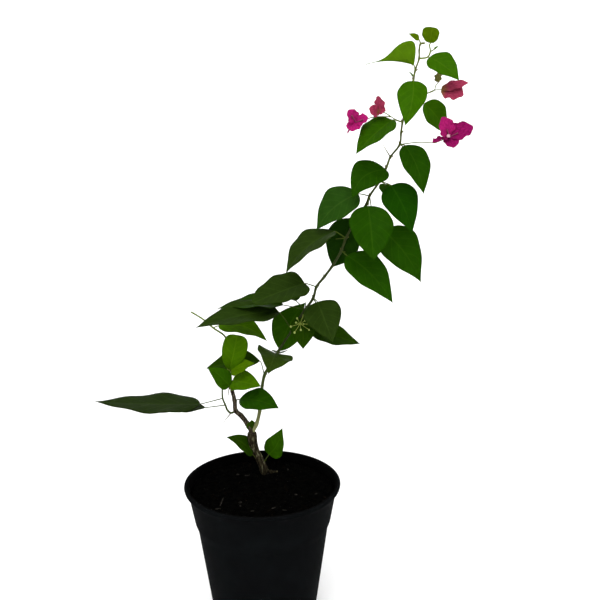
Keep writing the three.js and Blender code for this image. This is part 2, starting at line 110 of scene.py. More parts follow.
def surface(name, finish):
    """A material with its shader's fixed values set: the material, its node tree and its shader."""
    material = bpy.data.materials.new(name)
    material.use_nodes = True
    tree = material.node_tree
    shader = tree.nodes["Principled BSDF"]
    feed(tree, shader, finish)
    return material, tree, shader


def placed(name, mesh):
    """A new object for a mesh, at the origin."""
    piece = bpy.data.objects.new(name, mesh)
    bpy.context.scene.collection.objects.link(piece)
    return piece


def turned(profile, sides):
    """Points and faces of a (radius, height) profile turned about Z. A radius of 0 is one point."""
    points = []
    rings = []
    for radius, height in profile:
        count = sides if radius else 1
        turns = [2 * math.pi * i / sides for i in range(count)]
        rings.append(range(len(points), len(points) + count))
        points += [(radius * math.cos(a), radius * math.sin(a), height) for a in turns]
    faces = []
    for low, high in zip(rings, rings[1:]):
        for i in range(sides):
            a, b = low[i % len(low)], low[(i + 1) % sides % len(low)]
            c, d = high[(i + 1) % sides % len(high)], high[i % len(high)]
            corners = [a] if a == b else [a, b]
            corners += [c] if c == d else [c, d]
            if len(corners) > 2:
                faces.append(corners)
    return points, faces


def mesh_of(name, points, faces, smooth=True):
    """A mesh from points and faces, in metres, with its faces turned outwards."""
    mesh = bpy.data.meshes.new(name)
    mesh.from_pydata(points, [], faces)
    build = bmesh.new()
    build.from_mesh(mesh)
    bmesh.ops.recalc_face_normals(build, faces=build.faces)
    build.to_mesh(mesh)
    build.free()
    mesh.polygons.foreach_set("use_smooth", [smooth] * len(mesh.polygons))
    return mesh


sweep = [math.pi / 2 * i / SWEEP_STEPS for i in range(SWEEP_STEPS + 1)]
studio_profile = [
    (0, 0),
    *((STUDIO_RADIUS - STUDIO_SWEEP * (1 - math.sin(a)), STUDIO_SWEEP * (1 - math.cos(a))) for a in sweep),
    (STUDIO_RADIUS, STUDIO_WALL_TOP),
]
floor = placed("studio_floor", mesh_of("studio_floor", *turned(studio_profile, STUDIO_SIDES)))
white_paper = surface("matt_white_paper", {"Base Color": linear("#f8f8f8"), "Roughness": 0.9})[0]
floor.data.materials.append(white_paper)

world = bpy.data.worlds.new("pale_sky")
world.use_nodes = True
sky = world.node_tree.nodes["Background"]
feed(world.node_tree, sky, {"Color": linear("#ffffff"), "Strength": SKY_STRENGTH})
bpy.context.scene.world = world

lamp_data = bpy.data.lights.new("soft_lamp", "SUN")
lamp_data.energy = LAMP_STRENGTH
lamp_data.angle = math.radians(LAMP_SPREAD)
lamp = placed("soft_lamp", lamp_data)
lamp.rotation_euler = (math.radians(90 - LAMP_DOWN), 0, math.radians(LAMP_BEARING - 270))

bpy.context.scene.view_settings.view_transform = "Standard"


# ---- pot ----
# An injection-moulded nursery pot of recycled black polypropylene, about 16 cm across. It has a thin
# turned-out lip, a collar with a step under it, and six drain holes in its floor.

POT_SIDES = 128
# The wall's profile, (radius, height): up the outside, over the lip and down the inside to the floor.
POT_OUTSIDE = [(51.3, 0), (52.3, 1.2), (66.5, 103), (66.9, 104.5), (69.2, 110.8), (69.6, 112.4)]
POT_LIP = [(74.8, 141), (78.3, 145.7), (78.9, 146.5), (79.45, 148.6), (79.3, 149.5), (78.6, 150)]
POT_MOUTH = [(75.4, 150), (74.9, 149.7), (73.4, 141)]
POT_INSIDE = [(68.2, 112.4), (67.8, 110.8), (65.5, 104.5), (65.1, 103), (50.9, 2)]
DRAIN_HOLES = 6
DRAIN_RADIUS = 4.5
DRAIN_CIRCLE = 38
DRAIN_SIDES = 24
POT_FLOOR = 2

POT_TONES = ("#08090a", "#0d1011", "#020202")  # clean, scuffed, and the inside's painted shade with some soil stain
POT_ROUGHNESS = (0.62, 0.78)
SCUFF_MM = 28
SCUFF_SHOWS = {"From Min": 0.45, "From Max": 0.75, "To Max": 0.6}
SPECKLE_MM = 0.8  # the moulded grain, drawn coarser than the real one so that it shows
SPECKLE_DEPTH = 0.1


def scaled(points):
    """Points in millimetres as points in metres."""
    return [tuple(MM * value for value in point) for point in points]


def made(source, name):
    """The plain mesh that an object's modifiers make of it, as a new object. The source is removed."""
    depsgraph = bpy.context.evaluated_depsgraph_get()
    mesh = bpy.data.meshes.new_from_object(source.evaluated_get(depsgraph), depsgraph=depsgraph)
    mesh.name = name
    bpy.data.objects.remove(source)
    return placed(name, mesh)


def mesh_from(build, name):
    """The plain mesh of a bmesh, which it frees."""
    mesh = bpy.data.meshes.new(name)
    build.to_mesh(mesh)
    build.free()
    return mesh


def black_polypropylene():
    """Moulded polypropylene: bluish black and nearly matt, dusty where scuffed, darker inside with painted
    shade and some soil stain.
    """
    material, tree, shader = surface("moulded_black_polypropylene", {"Specular IOR Level": 0.005})
    clean_and_unshaded, scuffed, stained_and_shaded = map(linear, POT_TONES)
    place = add(tree, "TexCoord").outputs["Object"]
    scuff = add(tree, "TexNoise", {"Vector": place, "Scale": 1 / (SCUFF_MM * MM), "Detail": 6})
    dusty = add(tree, "MapRange", {"Value": scuff, **SCUFF_SHOWS})
    outside = add(tree, "Mix", {"Factor": dusty, 6: clean_and_unshaded, 7: scuffed}, data_type="RGBA").outputs[2]
    # Faces that look in towards the axis take the inside tone: painted shade of the pot's hollow, with some
    # soil stain.
    off_axis = add(tree, "VectorMath", {0: place, 1: (1, 1, 0)}, operation="MULTIPLY")
    facing = add(tree, "NewGeometry").outputs["Normal"]
    outward = add(tree, "VectorMath", {0: facing, 1: off_axis}, operation="DOT_PRODUCT").outputs["Value"]
    inside = add(tree, "Math", {0: outward, 1: 0.0}, operation="LESS_THAN")
    colour = add(tree, "Mix", {"Factor": inside, 6: outside, 7: stained_and_shaded}, data_type="RGBA").outputs[2]
    low, high = POT_ROUGHNESS
    rough = add(tree, "MapRange", {"Value": scuff, "To Min": low, "To Max": high})
    grain = add(tree, "TexNoise", {"Vector": place, "Scale": 1 / (SPECKLE_MM * MM), "Detail": 2})
    bump = add(tree, "Bump", {"Height": grain, "Distance": SPECKLE_DEPTH * MM, "Strength": 0.4})
    feed(tree, shader, {"Base Color": colour, "Roughness": rough, "Normal": bump})
    return material


pot_profile = [(0, 0), *POT_OUTSIDE, *POT_LIP, *POT_MOUTH, *POT_INSIDE, (0, POT_FLOOR)]
uncut_pot = placed("uncut_pot", mesh_of("uncut_pot", *turned(scaled(pot_profile), POT_SIDES)))
drills = bmesh.new()
for i in range(DRAIN_HOLES):
    angle = 2 * math.pi * (i + 0.5) / DRAIN_HOLES
    where = Vector((DRAIN_CIRCLE * math.cos(angle), DRAIN_CIRCLE * math.sin(angle), POT_FLOOR / 2)) * MM
    bmesh.ops.create_cone(
        drills,
        cap_ends=True,
        segments=DRAIN_SIDES,
        radius1=DRAIN_RADIUS * MM,
        radius2=DRAIN_RADIUS * MM,
        depth=3 * POT_FLOOR * MM,
        matrix=Matrix.Translation(where),
    )
drill = placed("drills", mesh_from(drills, "drills"))
drilling = uncut_pot.modifiers.new("drain_holes", "BOOLEAN")
drilling.operation = "DIFFERENCE"
drilling.object = drill
pot = made(uncut_pot, "pot_shell")
bpy.data.objects.remove(drill)
pot.data.materials.append(black_polypropylene())
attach(pot, "root")
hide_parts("pot")


# ---- potting soil ----
# Dark, moist peat mix that fills the pot to just under its rim. Its top is lumpy, and strewn with crumbs,
# slivers of bark and a few pale bits of straw and grit.

SOIL_SIDE = [(50.6, 2.3), (64.8, 103), (67.9, 112), (72.9, 140)]
SOIL_TOP = 141
SOIL_TOP_RADIUS = 71
SOIL_RINGS = 44
SOIL_SIDES = 144
LUMPY_WITHIN = 0.9  # share of the top's radius within which it is fully lumpy
LUMP_MM = 13
LUMP_RISE = 4.5
CRUMB_MM = 2.4
CRUMB_RISE = 1.8
CRUMBS_PER_M2 = 90000
CRUMB_SIZE = (0.9, 0.9, 0.9)
CHIPS_PER_M2 = 9000
CHIP_SIZE = (4.2, 1.6, 0.7)
LOOSE_SIZES = (0.45, 1.25)  # how far loose bits shrink and grow from their usual size
LOOSE_TILT = 0.5
# Pale bits that lie on the soil: [x, y, length, width, bearing].
PALE_BITS = [
    [-39.5, -27, 20, 1.5, 84],
    [-42, -42, 6, 2.6, 10],
    [-21, -29, 4.5, 3.4, 60],
    [-20.5, -36, 4, 2, 100],
    [12.5, -41, 5, 2.4, 30],
    [34, -13, 4, 2.6, 150],
    [54.5, -11.5, 4, 2.6, 60],
    [-27.5, 35, 4, 3.2, 45],
    [-18, 32.5, 6, 2.2, 10],
    [25.5, 46.5, 5, 2, 95],
    [-8, -47, 4, 1.8, 15],
    [23, -46, 5, 1.6, 170],
    [4, 36.5, 3.2, 1.8, 80],
]
BIT_HEIGHT = 1.2
BIT_LEVEL = 0.6  # how high a bit's middle lies over the soil's level


def earth(name, dark, light, patch_mm):
    """Peat, bark or straw: quite matt, and lighter in patches where it has dried."""
    material, tree, shader = surface(name, {"Roughness": 0.95, "Specular IOR Level": 0.0})
    place = add(tree, "TexCoord").outputs["Object"]
    patch = add(tree, "TexNoise", {"Vector": place, "Scale": 1 / (patch_mm * MM), "Detail": 8})
    dry = add(tree, "MapRange", {"Value": patch, "From Min": 0.42, "From Max": 0.72})
    colour = add(tree, "Mix", {"Factor": dry, 6: linear(dark), 7: linear(light)}, data_type="RGBA")
    bump = add(tree, "Bump", {"Height": patch, "Distance": 0.5 * MM, "Strength": 0.7})
    feed(tree, shader, {"Base Color": colour.outputs[2], "Normal": bump})
    return material


def grower(name, inputs):
    """A new geometry tree with its named inputs, and its input and output nodes."""
    tree = bpy.data.node_groups.new(name, "GeometryNodeTree")
    for label, kind in inputs.items():
        tree.interface.new_socket(label, in_out="INPUT", socket_type="NodeSocket" + kind)
    tree.interface.new_socket("Made", in_out="OUTPUT", socket_type="NodeSocketGeometry")
    return tree, tree.nodes.new("NodeGroupInput"), tree.nodes.new("NodeGroupOutput")


def run_tree(source, tree, values):
    """Puts a geometry tree on an object, with its inputs set by name."""
    modifier = source.modifiers.new(tree.name, "NODES")
    modifier.node_group = tree
    for item in tree.interface.items_tree:
        if item.name in values:
            modifier[item.identifier] = values[item.name]


def soil_tree():
    """Heaves the soil's level top into lumps and strews crumbs and bark slivers over it."""
    inputs = {
        "Soil": "Geometry",
        "Top": "Float",
        "Top Radius": "Float",
        "Lump Size": "Float",
        "Lump Rise": "Float",
        "Crumb Size": "Float",
        "Crumb Rise": "Float",
        "Peat": "Material",
        "Bark": "Material",
    }
    tree, given, result = grower("lumpy_soil", inputs)
    place = add(tree, "GeometryNodeInputPosition")
    parts = add(tree, "SeparateXYZ", {0: place})
    above = add(tree, "Math", {0: parts.outputs[2], 1: given.outputs["Top"]}, operation="SUBTRACT")
    on_top = add(tree, "Math", {0: above, 1: -0.2 * MM}, operation="GREATER_THAN")
    level = add(tree, "CombineXYZ", {0: parts.outputs[0], 1: parts.outputs[1]})
    radius = add(tree, "VectorMath", {0: level}, operation="LENGTH").outputs["Value"]
    lumpy = LUMPY_WITHIN * SOIL_TOP_RADIUS * MM
    inside = add(
        tree, "MapRange", {"Value": radius, "From Min": given.outputs["Top Radius"], "From Max": lumpy}
    )
    heights = []
    for size, rise in (("Lump Size", "Lump Rise"), ("Crumb Size", "Crumb Rise")):
        scale = add(tree, "Math", {0: 1.0, 1: given.outputs[size]}, operation="DIVIDE")
        bumps = add(tree, "TexNoise", {"Vector": place, "Scale": scale, "Detail": 3})
        centred = add(tree, "Math", {0: bumps, 1: 0.5}, operation="SUBTRACT")
        heights.append(add(tree, "Math", {0: centred, 1: given.outputs[rise]}, operation="MULTIPLY"))
    heave = add(tree, "Math", {0: heights[0], 1: heights[1]}, operation="ADD")
    heave = add(tree, "Math", {0: heave, 1: inside}, operation="MULTIPLY")
    offset = add(tree, "CombineXYZ", {2: heave})
    heaved = add(
        tree, "GeometryNodeSetPosition", {0: given.outputs["Soil"], "Selection": on_top, "Offset": offset}
    )
    painted = add(tree, "GeometryNodeSetMaterial", {0: heaved, "Material": given.outputs["Peat"]})
    strewn = [painted]
    loose = (CRUMBS_PER_M2, CRUMB_SIZE, "Peat", 3), (CHIPS_PER_M2, CHIP_SIZE, "Bark", 8)
    for density, size, stuff, seed in loose:
        keep = add(tree, "Math", {0: on_top, 1: inside}, operation="MULTIPLY")
        spots = add(
            tree,
            "GeometryNodeDistributePointsOnFaces",
            {"Mesh": heaved, "Selection": keep, "Density": density, "Seed": seed},
        )
        grit = add(tree, "GeometryNodeMeshIcoSphere", {"Radius": MM, "Subdivisions": 1})
        tilts = (-LOOSE_TILT, -LOOSE_TILT, 0), (LOOSE_TILT, LOOSE_TILT, 2 * math.pi)
        sizes = [tuple(share * side for side in size) for share in LOOSE_SIZES]
        drawn = [
            add(
                tree,
                "FunctionNodeRandomValue",
                {0: least, 1: most, "Seed": seed + i},
                data_type="FLOAT_VECTOR",
            )
            for i, (least, most) in enumerate((tilts, sizes))
        ]
        bits = add(
            tree,
            "GeometryNodeInstanceOnPoints",
            {"Points": spots, "Instance": grit, "Rotation": drawn[0], "Scale": drawn[1]},
        )
        strewn.append(add(tree, "GeometryNodeSetMaterial", {0: bits, "Material": given.outputs[stuff]}))
    joined = add(tree, "GeometryNodeJoinGeometry")
    for part in reversed(strewn):
        tree.links.new(part.outputs[0], joined.inputs[0])
    real = add(tree, "GeometryNodeRealizeInstances", {0: joined})
    tree.links.new(real.outputs[0], result.inputs[0])
    return tree


peat = earth("damp_peat", "#020202", "#060605", 5)
bark_mulch = earth("composted_bark", "#040302", "#0b0907", 3)
soil_profile = [(0, SOIL_SIDE[0][1]), *SOIL_SIDE]
soil_profile += [(SOIL_TOP_RADIUS * (1 - i / SOIL_RINGS), SOIL_TOP) for i in range(SOIL_RINGS)]
soil_profile.append((0, SOIL_TOP))
soil_block = placed("soil_block", mesh_of("soil_block", *turned(scaled(soil_profile), SOIL_SIDES)))
lengths = {
    "Top": SOIL_TOP,
    "Top Radius": SOIL_TOP_RADIUS,
    "Lump Size": LUMP_MM,
    "Lump Rise": LUMP_RISE,
    "Crumb Size": CRUMB_MM,
    "Crumb Rise": CRUMB_RISE,
}
values = {name: length * MM for name, length in lengths.items()}
run_tree(soil_block, soil_tree(), {**values, "Peat": peat, "Bark": bark_mulch})
soil = made(soil_block, "soil_surface")
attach(soil, "root")
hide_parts("potting_soil")

bits = bmesh.new()
for x, y, length, width, bearing in PALE_BITS:
    place = Matrix.Translation(Vector((x, y, SOIL_TOP + BIT_LEVEL)) * MM)
    stretch = Matrix.Diagonal((0.5 * length, 0.5 * width, 0.5 * BIT_HEIGHT, 1))
    turn = Matrix.Rotation(math.radians(bearing), 4, "Z")
    bmesh.ops.create_icosphere(bits, subdivisions=2, radius=MM, matrix=place @ turn @ stretch)
straw = placed("straw_and_grit", mesh_from(bits, "straw_and_grit"))
straw.data.materials.append(earth("dry_straw", "#161513", "#2c2a26", 1.5))
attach(straw, "root")


# ---- how stems grow ----
# Trunk, cane, stub, twigs and stalks are all rounds of living wood, thickest where they start. Each runs
# smoothly through its nodes, and a node is reached by a link of [length, pitch, bearing].


def heading(pitch, bearing):
    """The unit direction with a pitch above the level and a bearing, 0 towards +X and 90 towards +Y."""
    up, round_z = math.radians(pitch), math.radians(bearing)
    return Vector((math.cos(up) * math.cos(round_z), math.cos(up) * math.sin(round_z), math.sin(up)))


def grow(start, links):
    """The nodes reached from a start by links."""
    nodes = [Vector(start)]
    for length, pitch, bearing in links:
        nodes.append(nodes[-1] + length * heading(pitch, bearing))
    return nodes


def stem_through(nodes, steps=10):
    """A smooth stem through its nodes: its points, the length along it at each, and the nodes' lengths."""
    ends = [2 * nodes[0] - nodes[1], *nodes, 2 * nodes[-1] - nodes[-2]]
    points = [nodes[0]]
    for before, a, b, after in zip(ends, ends[1:], ends[2:], ends[3:]):
        spans = [max((q - p).length ** 0.5, 1e-4) for p, q in ((before, a), (a, b), (b, after))]
        leave = (a - before) / spans[0] - (b - before) / (spans[0] + spans[1]) + (b - a) / spans[1]
        arrive = (b - a) / spans[1] - (after - a) / (spans[1] + spans[2]) + (after - b) / spans[2]
        leave *= spans[1]
        arrive *= spans[1]
        for i in range(1, steps + 1):
            t = i / steps
            cubic = 2 * a - 2 * b + leave + arrive
            square = 3 * b - 3 * a - 2 * leave - arrive
            points.append(a + t * leave + t * t * square + t * t * t * cubic)
    at = [0.0]
    for p, q in zip(points, points[1:]):
        at.append(at[-1] + (q - p).length)
    return {"points": points, "at": at, "reach": at[::steps], "length": at[-1]}


def taper(radii, length):
    """An even taper between two radii."""
    return lambda at: radii[0] + (radii[1] - radii[0]) * at / length


def tapered(nodes, radii, steps=10):
    """A smooth stem through its nodes that tapers evenly: its points and its radius at each."""
    stem = stem_through(nodes, steps)
    radius = taper(radii, stem["length"])
    return stem["points"], [radius(at) for at in stem["at"]]


def bark_tree():
    """Sweeps a circle along each stem at the stem's own radius and roughens it with stretched ridges."""
    inputs = {
        "Stems": "Geometry",
        "Sides": "Int",
        "Relief": "Float",
        "Grain Width": "Float",
        "Grain Length": "Float",
        "Bark": "Material",
    }
    tree, given, result = grower("bark_round_stems", inputs)
    sides = given.outputs["Sides"]
    section = add(tree, "GeometryNodeCurvePrimitiveCircle", {"Resolution": sides, "Radius": 1.0})
    thick = add(tree, "GeometryNodeInputRadius")
    swept = add(
        tree,
        "GeometryNodeCurveToMesh",
        {"Curve": given.outputs["Stems"], "Profile Curve": section, "Scale": thick, "Fill Caps": True},
    )
    across = add(tree, "Math", {0: 1.0, 1: given.outputs["Grain Width"]}, operation="DIVIDE")
    along = add(tree, "Math", {0: 1.0, 1: given.outputs["Grain Length"]}, operation="DIVIDE")
    pull = add(tree, "CombineXYZ", {0: across, 1: across, 2: along})
    place = add(tree, "GeometryNodeInputPosition")
    grain = add(tree, "VectorMath", {0: place, 1: pull}, operation="MULTIPLY")
    ridges = add(tree, "TexNoise", {"Vector": grain, "Scale": 1.0, "Detail": 3})
    centred = add(tree, "Math", {0: ridges, 1: 0.5}, operation="SUBTRACT")
    height = add(tree, "Math", {0: centred, 1: given.outputs["Relief"]}, operation="MULTIPLY")
    outward = add(tree, "GeometryNodeInputNormal")
    offset = add(tree, "VectorMath", {0: outward, "Scale": height}, operation="SCALE")
    rough = add(tree, "GeometryNodeSetPosition", {0: swept, "Offset": offset})
    real = add(tree, "GeometryNodeRealizeInstances", {0: rough})
    smooth = add(tree, "GeometryNodeSetShadeSmooth", {0: real})
    painted = add(tree, "GeometryNodeSetMaterial", {0: smooth, "Material": given.outputs["Bark"]})
    tree.links.new(painted.outputs[0], result.inputs[0])
    return tree


stem_tree = bark_tree()


def wood(name, stems, bark, sides, relief, grain):
    """One piece from (points, radii) stems, in millimetres. The grain is its width and length."""
    lines = bpy.data.curves.new(name, "CURVE")
    lines.dimensions = "3D"
    for points, radii in stems:
        line = lines.splines.new("POLY")
        line.points.add(len(points) - 1)
        for spot, place, radius in zip(line.points, points, radii):
            spot.co = (*(place * MM), 1)
            spot.radius = radius * MM
    source = placed(name + "_lines", lines)
    values = {"Sides": sides, "Relief": relief * MM, "Bark": bark}
    values |= {"Grain Width": grain[0] * MM, "Grain Length": grain[1] * MM}
    run_tree(source, stem_tree, values)
    piece = made(source, name)
    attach(piece, "root")
    return piece


# ---- trunk ----
# A short woody stem a little thicker than a pencil, flared where it leaves the soil, with one root showing,
# and thickened under the fork. Its bark is dark brown with pale, corky, grey-green ridges.

TRUNK_FOOT = (1, 39.5, 141.3)
TRUNK_LINKS = [[10.5, 73, 208], [16.5, 68.5, 194], [13.5, 74, 197], [9.3, 84, 256]]
TRUNK_RADIUS = 3.9
ROOT_FLARE = 0.9
FLARE_REACH = 6
FOOT_DEPTH = 6
FORK_DEPTH = 6  # how far under the fork the trunk is thickest, and where the cane and the stub start
FORK_BULGE = 1.2  # how much wider the trunk is there
BULGE_REACH = 9
ROOT_LINK = [14, 0, 352]
ROOT_RADII = (1.9, 1.5)
ROOT_SUNK = 0.4  # how deep the root lies in the soil
TRUNK_SIDES = 24
TRUNK_GRAIN = (2.2, 7)
TRUNK_RELIEF = 1.6
STREAK_LEVELS = (0.3, 0.7)  # noise at the bottom of a furrow and on top of a ridge
SOIL_SHADE_HEIGHTS = (142, 154)  # heights between which painted shade near the soil, with some soil stain, darkens the bark less and less
SHADE_AT_SOIL = 0.3  # how bright the bark stays at the soil under the painted shade


def tone_ramp(tree, value, tones, levels):
    """A node that turns a value into one of several tones, each at its own level from 0 to 1."""
    ramp = add(tree, "ValToRGB", {"Fac": value})
    band = ramp.color_ramp
    while len(band.elements) < len(tones):
        band.elements.new(0.5)
    for stop, tone, level in zip(band.elements, tones, levels):
        stop.position = level
        stop.color = linear(tone)
    return ramp


def banded_bark(name, tones, grain, fine, finish):
    """Bark in streaks, darkened near the soil by painted shade and some soil stain. Tones go from furrow to
    ridge, grain is width and length.
    """
    material, tree, shader = surface(name, finish)
    place = add(tree, "TexCoord").outputs["Object"]
    pull = add(tree, "Mapping", {"Vector": place, "Scale": (1, 1, grain[0] / grain[1])})
    wide = 1 / (grain[0] * MM)
    streak = add(tree, "TexNoise", {"Vector": pull, "Scale": wide, "Detail": 5, "Distortion": 0.4})
    low, high = STREAK_LEVELS
    levels = [low + (high - low) * i / (len(tones) - 1) for i in range(len(tones))]
    ramp = tone_ramp(tree, streak, tones, levels)
    pits = add(tree, "TexNoise", {"Vector": pull, "Scale": 1 / (fine * MM), "Detail": 3})
    height = add(tree, "Math", {0: streak, 1: pits}, operation="ADD")
    bump = add(tree, "Bump", {"Height": height, "Distance": 0.5 * MM, "Strength": 0.8})
    # Painted shade, with some soil stain: the bark darkens towards the soil.
    level = add(tree, "SeparateXYZ", {0: place}).outputs["Z"]
    low, high = (MM * value for value in SOIL_SHADE_HEIGHTS)
    clean_and_unshaded = add(tree, "MapRange", {"Value": level, "From Min": low, "From Max": high, "To Min": SHADE_AT_SOIL})
    colour = add(tree, "VectorMath", {0: ramp, "Scale": clean_and_unshaded}, operation="SCALE")
    feed(tree, shader, {"Base Color": colour, "Normal": bump})
    return material


foot = Vector(TRUNK_FOOT)
trunk_nodes = grow(foot, TRUNK_LINKS)
sunk_foot = foot - FOOT_DEPTH * heading(*TRUNK_LINKS[0][1:])
trunk_stem = stem_through([sunk_foot, *trunk_nodes])
flare_start = trunk_stem["reach"][1]
bulge_at = trunk_stem["length"] - FORK_DEPTH
trunk_radii = [
    TRUNK_RADIUS
    + ROOT_FLARE * math.exp(-max(0, at - flare_start) / FLARE_REACH)
    + FORK_BULGE * math.exp(-(((at - bulge_at) / BULGE_REACH) ** 2))
    for at in trunk_stem["at"]
]
root = tapered(grow(foot + Vector((0, 0, ROOT_RADII[0] - ROOT_SUNK)), [ROOT_LINK]), ROOT_RADII)
trunk_bark = banded_bark(
    "corky_trunk_bark",
    ["#0a0805", "#1c170f", "#353020", "#6c6c54"],
    TRUNK_GRAIN,
    0.7,
    {"Roughness": 0.85, "Specular IOR Level": 0.03},
)
trunk_and_root = [(trunk_stem["points"], trunk_radii), root]
trunk = wood("trunk_wood", trunk_and_root, trunk_bark, TRUNK_SIDES, TRUNK_RELIEF, TRUNK_GRAIN)
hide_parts("trunk")


# ---- cut stub ----
# The old leader, cut off years ago above the young shoots that it now feeds. Its bark is dark and dry.

STUB_LINKS = [[11.5, 67, 199], [12, 56, 189], [7.5, 47, 191], [12.5, 80, 245], [11.5, 78, 205]]
STUB_RADII = (3.0, 1.9)
STUB_SIDES = 18
STUB_GRAIN = (1.6, 5)
STUB_RELIEF = 0.9
NODE_SWELL = 0.25  # how much thicker a stem is at each node
SWELL_LENGTH = 2.2


def point_along(stem, target):
    """The point at a length along a stem."""
    pairs = zip(stem["at"], stem["at"][1:], stem["points"], stem["points"][1:])
    for low, high, a, b in pairs:
        if low <= target <= high:
            return a.lerp(b, (target - low) / (high - low))


def swollen(stem, radius_at, first):
    """Radii along a stem that swells a little at each of its nodes from number first on."""
    nodes = stem["reach"][first:]
    return [
        radius_at(at) + sum(NODE_SWELL * math.exp(-(((at - node) / SWELL_LENGTH) ** 2)) for node in nodes)
        for at in stem["at"]
    ]


fork = trunk_nodes[-1]
stub_nodes = grow(fork, STUB_LINKS)
under_fork = point_along(trunk_stem, bulge_at)
stub_stem = stem_through([under_fork, *stub_nodes])
stub_bark = banded_bark(
    "dry_dark_bark",
    ["#100c09", "#29221a", "#4a4236", "#6d6556"],
    STUB_GRAIN,
    0.6,
    {"Roughness": 0.85, "Specular IOR Level": 0.03},
)
stub_radii = swollen(stub_stem, taper(STUB_RADII, stub_stem["length"]), 2)
stub = wood("stub_wood", [(stub_stem["points"], stub_radii)], stub_bark, STUB_SIDES, STUB_RELIEF, STUB_GRAIN)
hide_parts("cut_stub")


# ---- what grows on the stems ----
# Leaves stand one to a node on slim stalks, with a thorn or a bud beside some, and blossom hangs near the
# tip. All numbers are [length, pitch, bearing] for a stalk and [pitch, bearing, roll] for the way a blade
# lies. Each spray has its own leaf tone, paler and yellower towards the young tips.

BARE_CANE = [[11.5, 64, 349], [15.5, 75, 337], [21.5, 83, 338]]


def leaf(at, stalk, size, lie, **form):
    """A leaf at a node: its stalk, its blade's length and width, how it lies and its outline."""
    return {"at": at, "stalk": stalk, "size": size, "lie": lie, "form": form}


def head(stalks, tone, *bracts, flower=None):
    """A head of bracts, each with its size, its lie and, if it has one, its own tone."""
    return {"stalks": stalks, "tone": tone, "bracts": bracts, "flower": flower}


def spray_of(node, tone, links, *leaves, **growth):
    """A stretch of stem with all that grows on it, as the model's node of that name."""
    return {"node": node, "tone": tone, "links": links, "leaves": leaves, **growth}


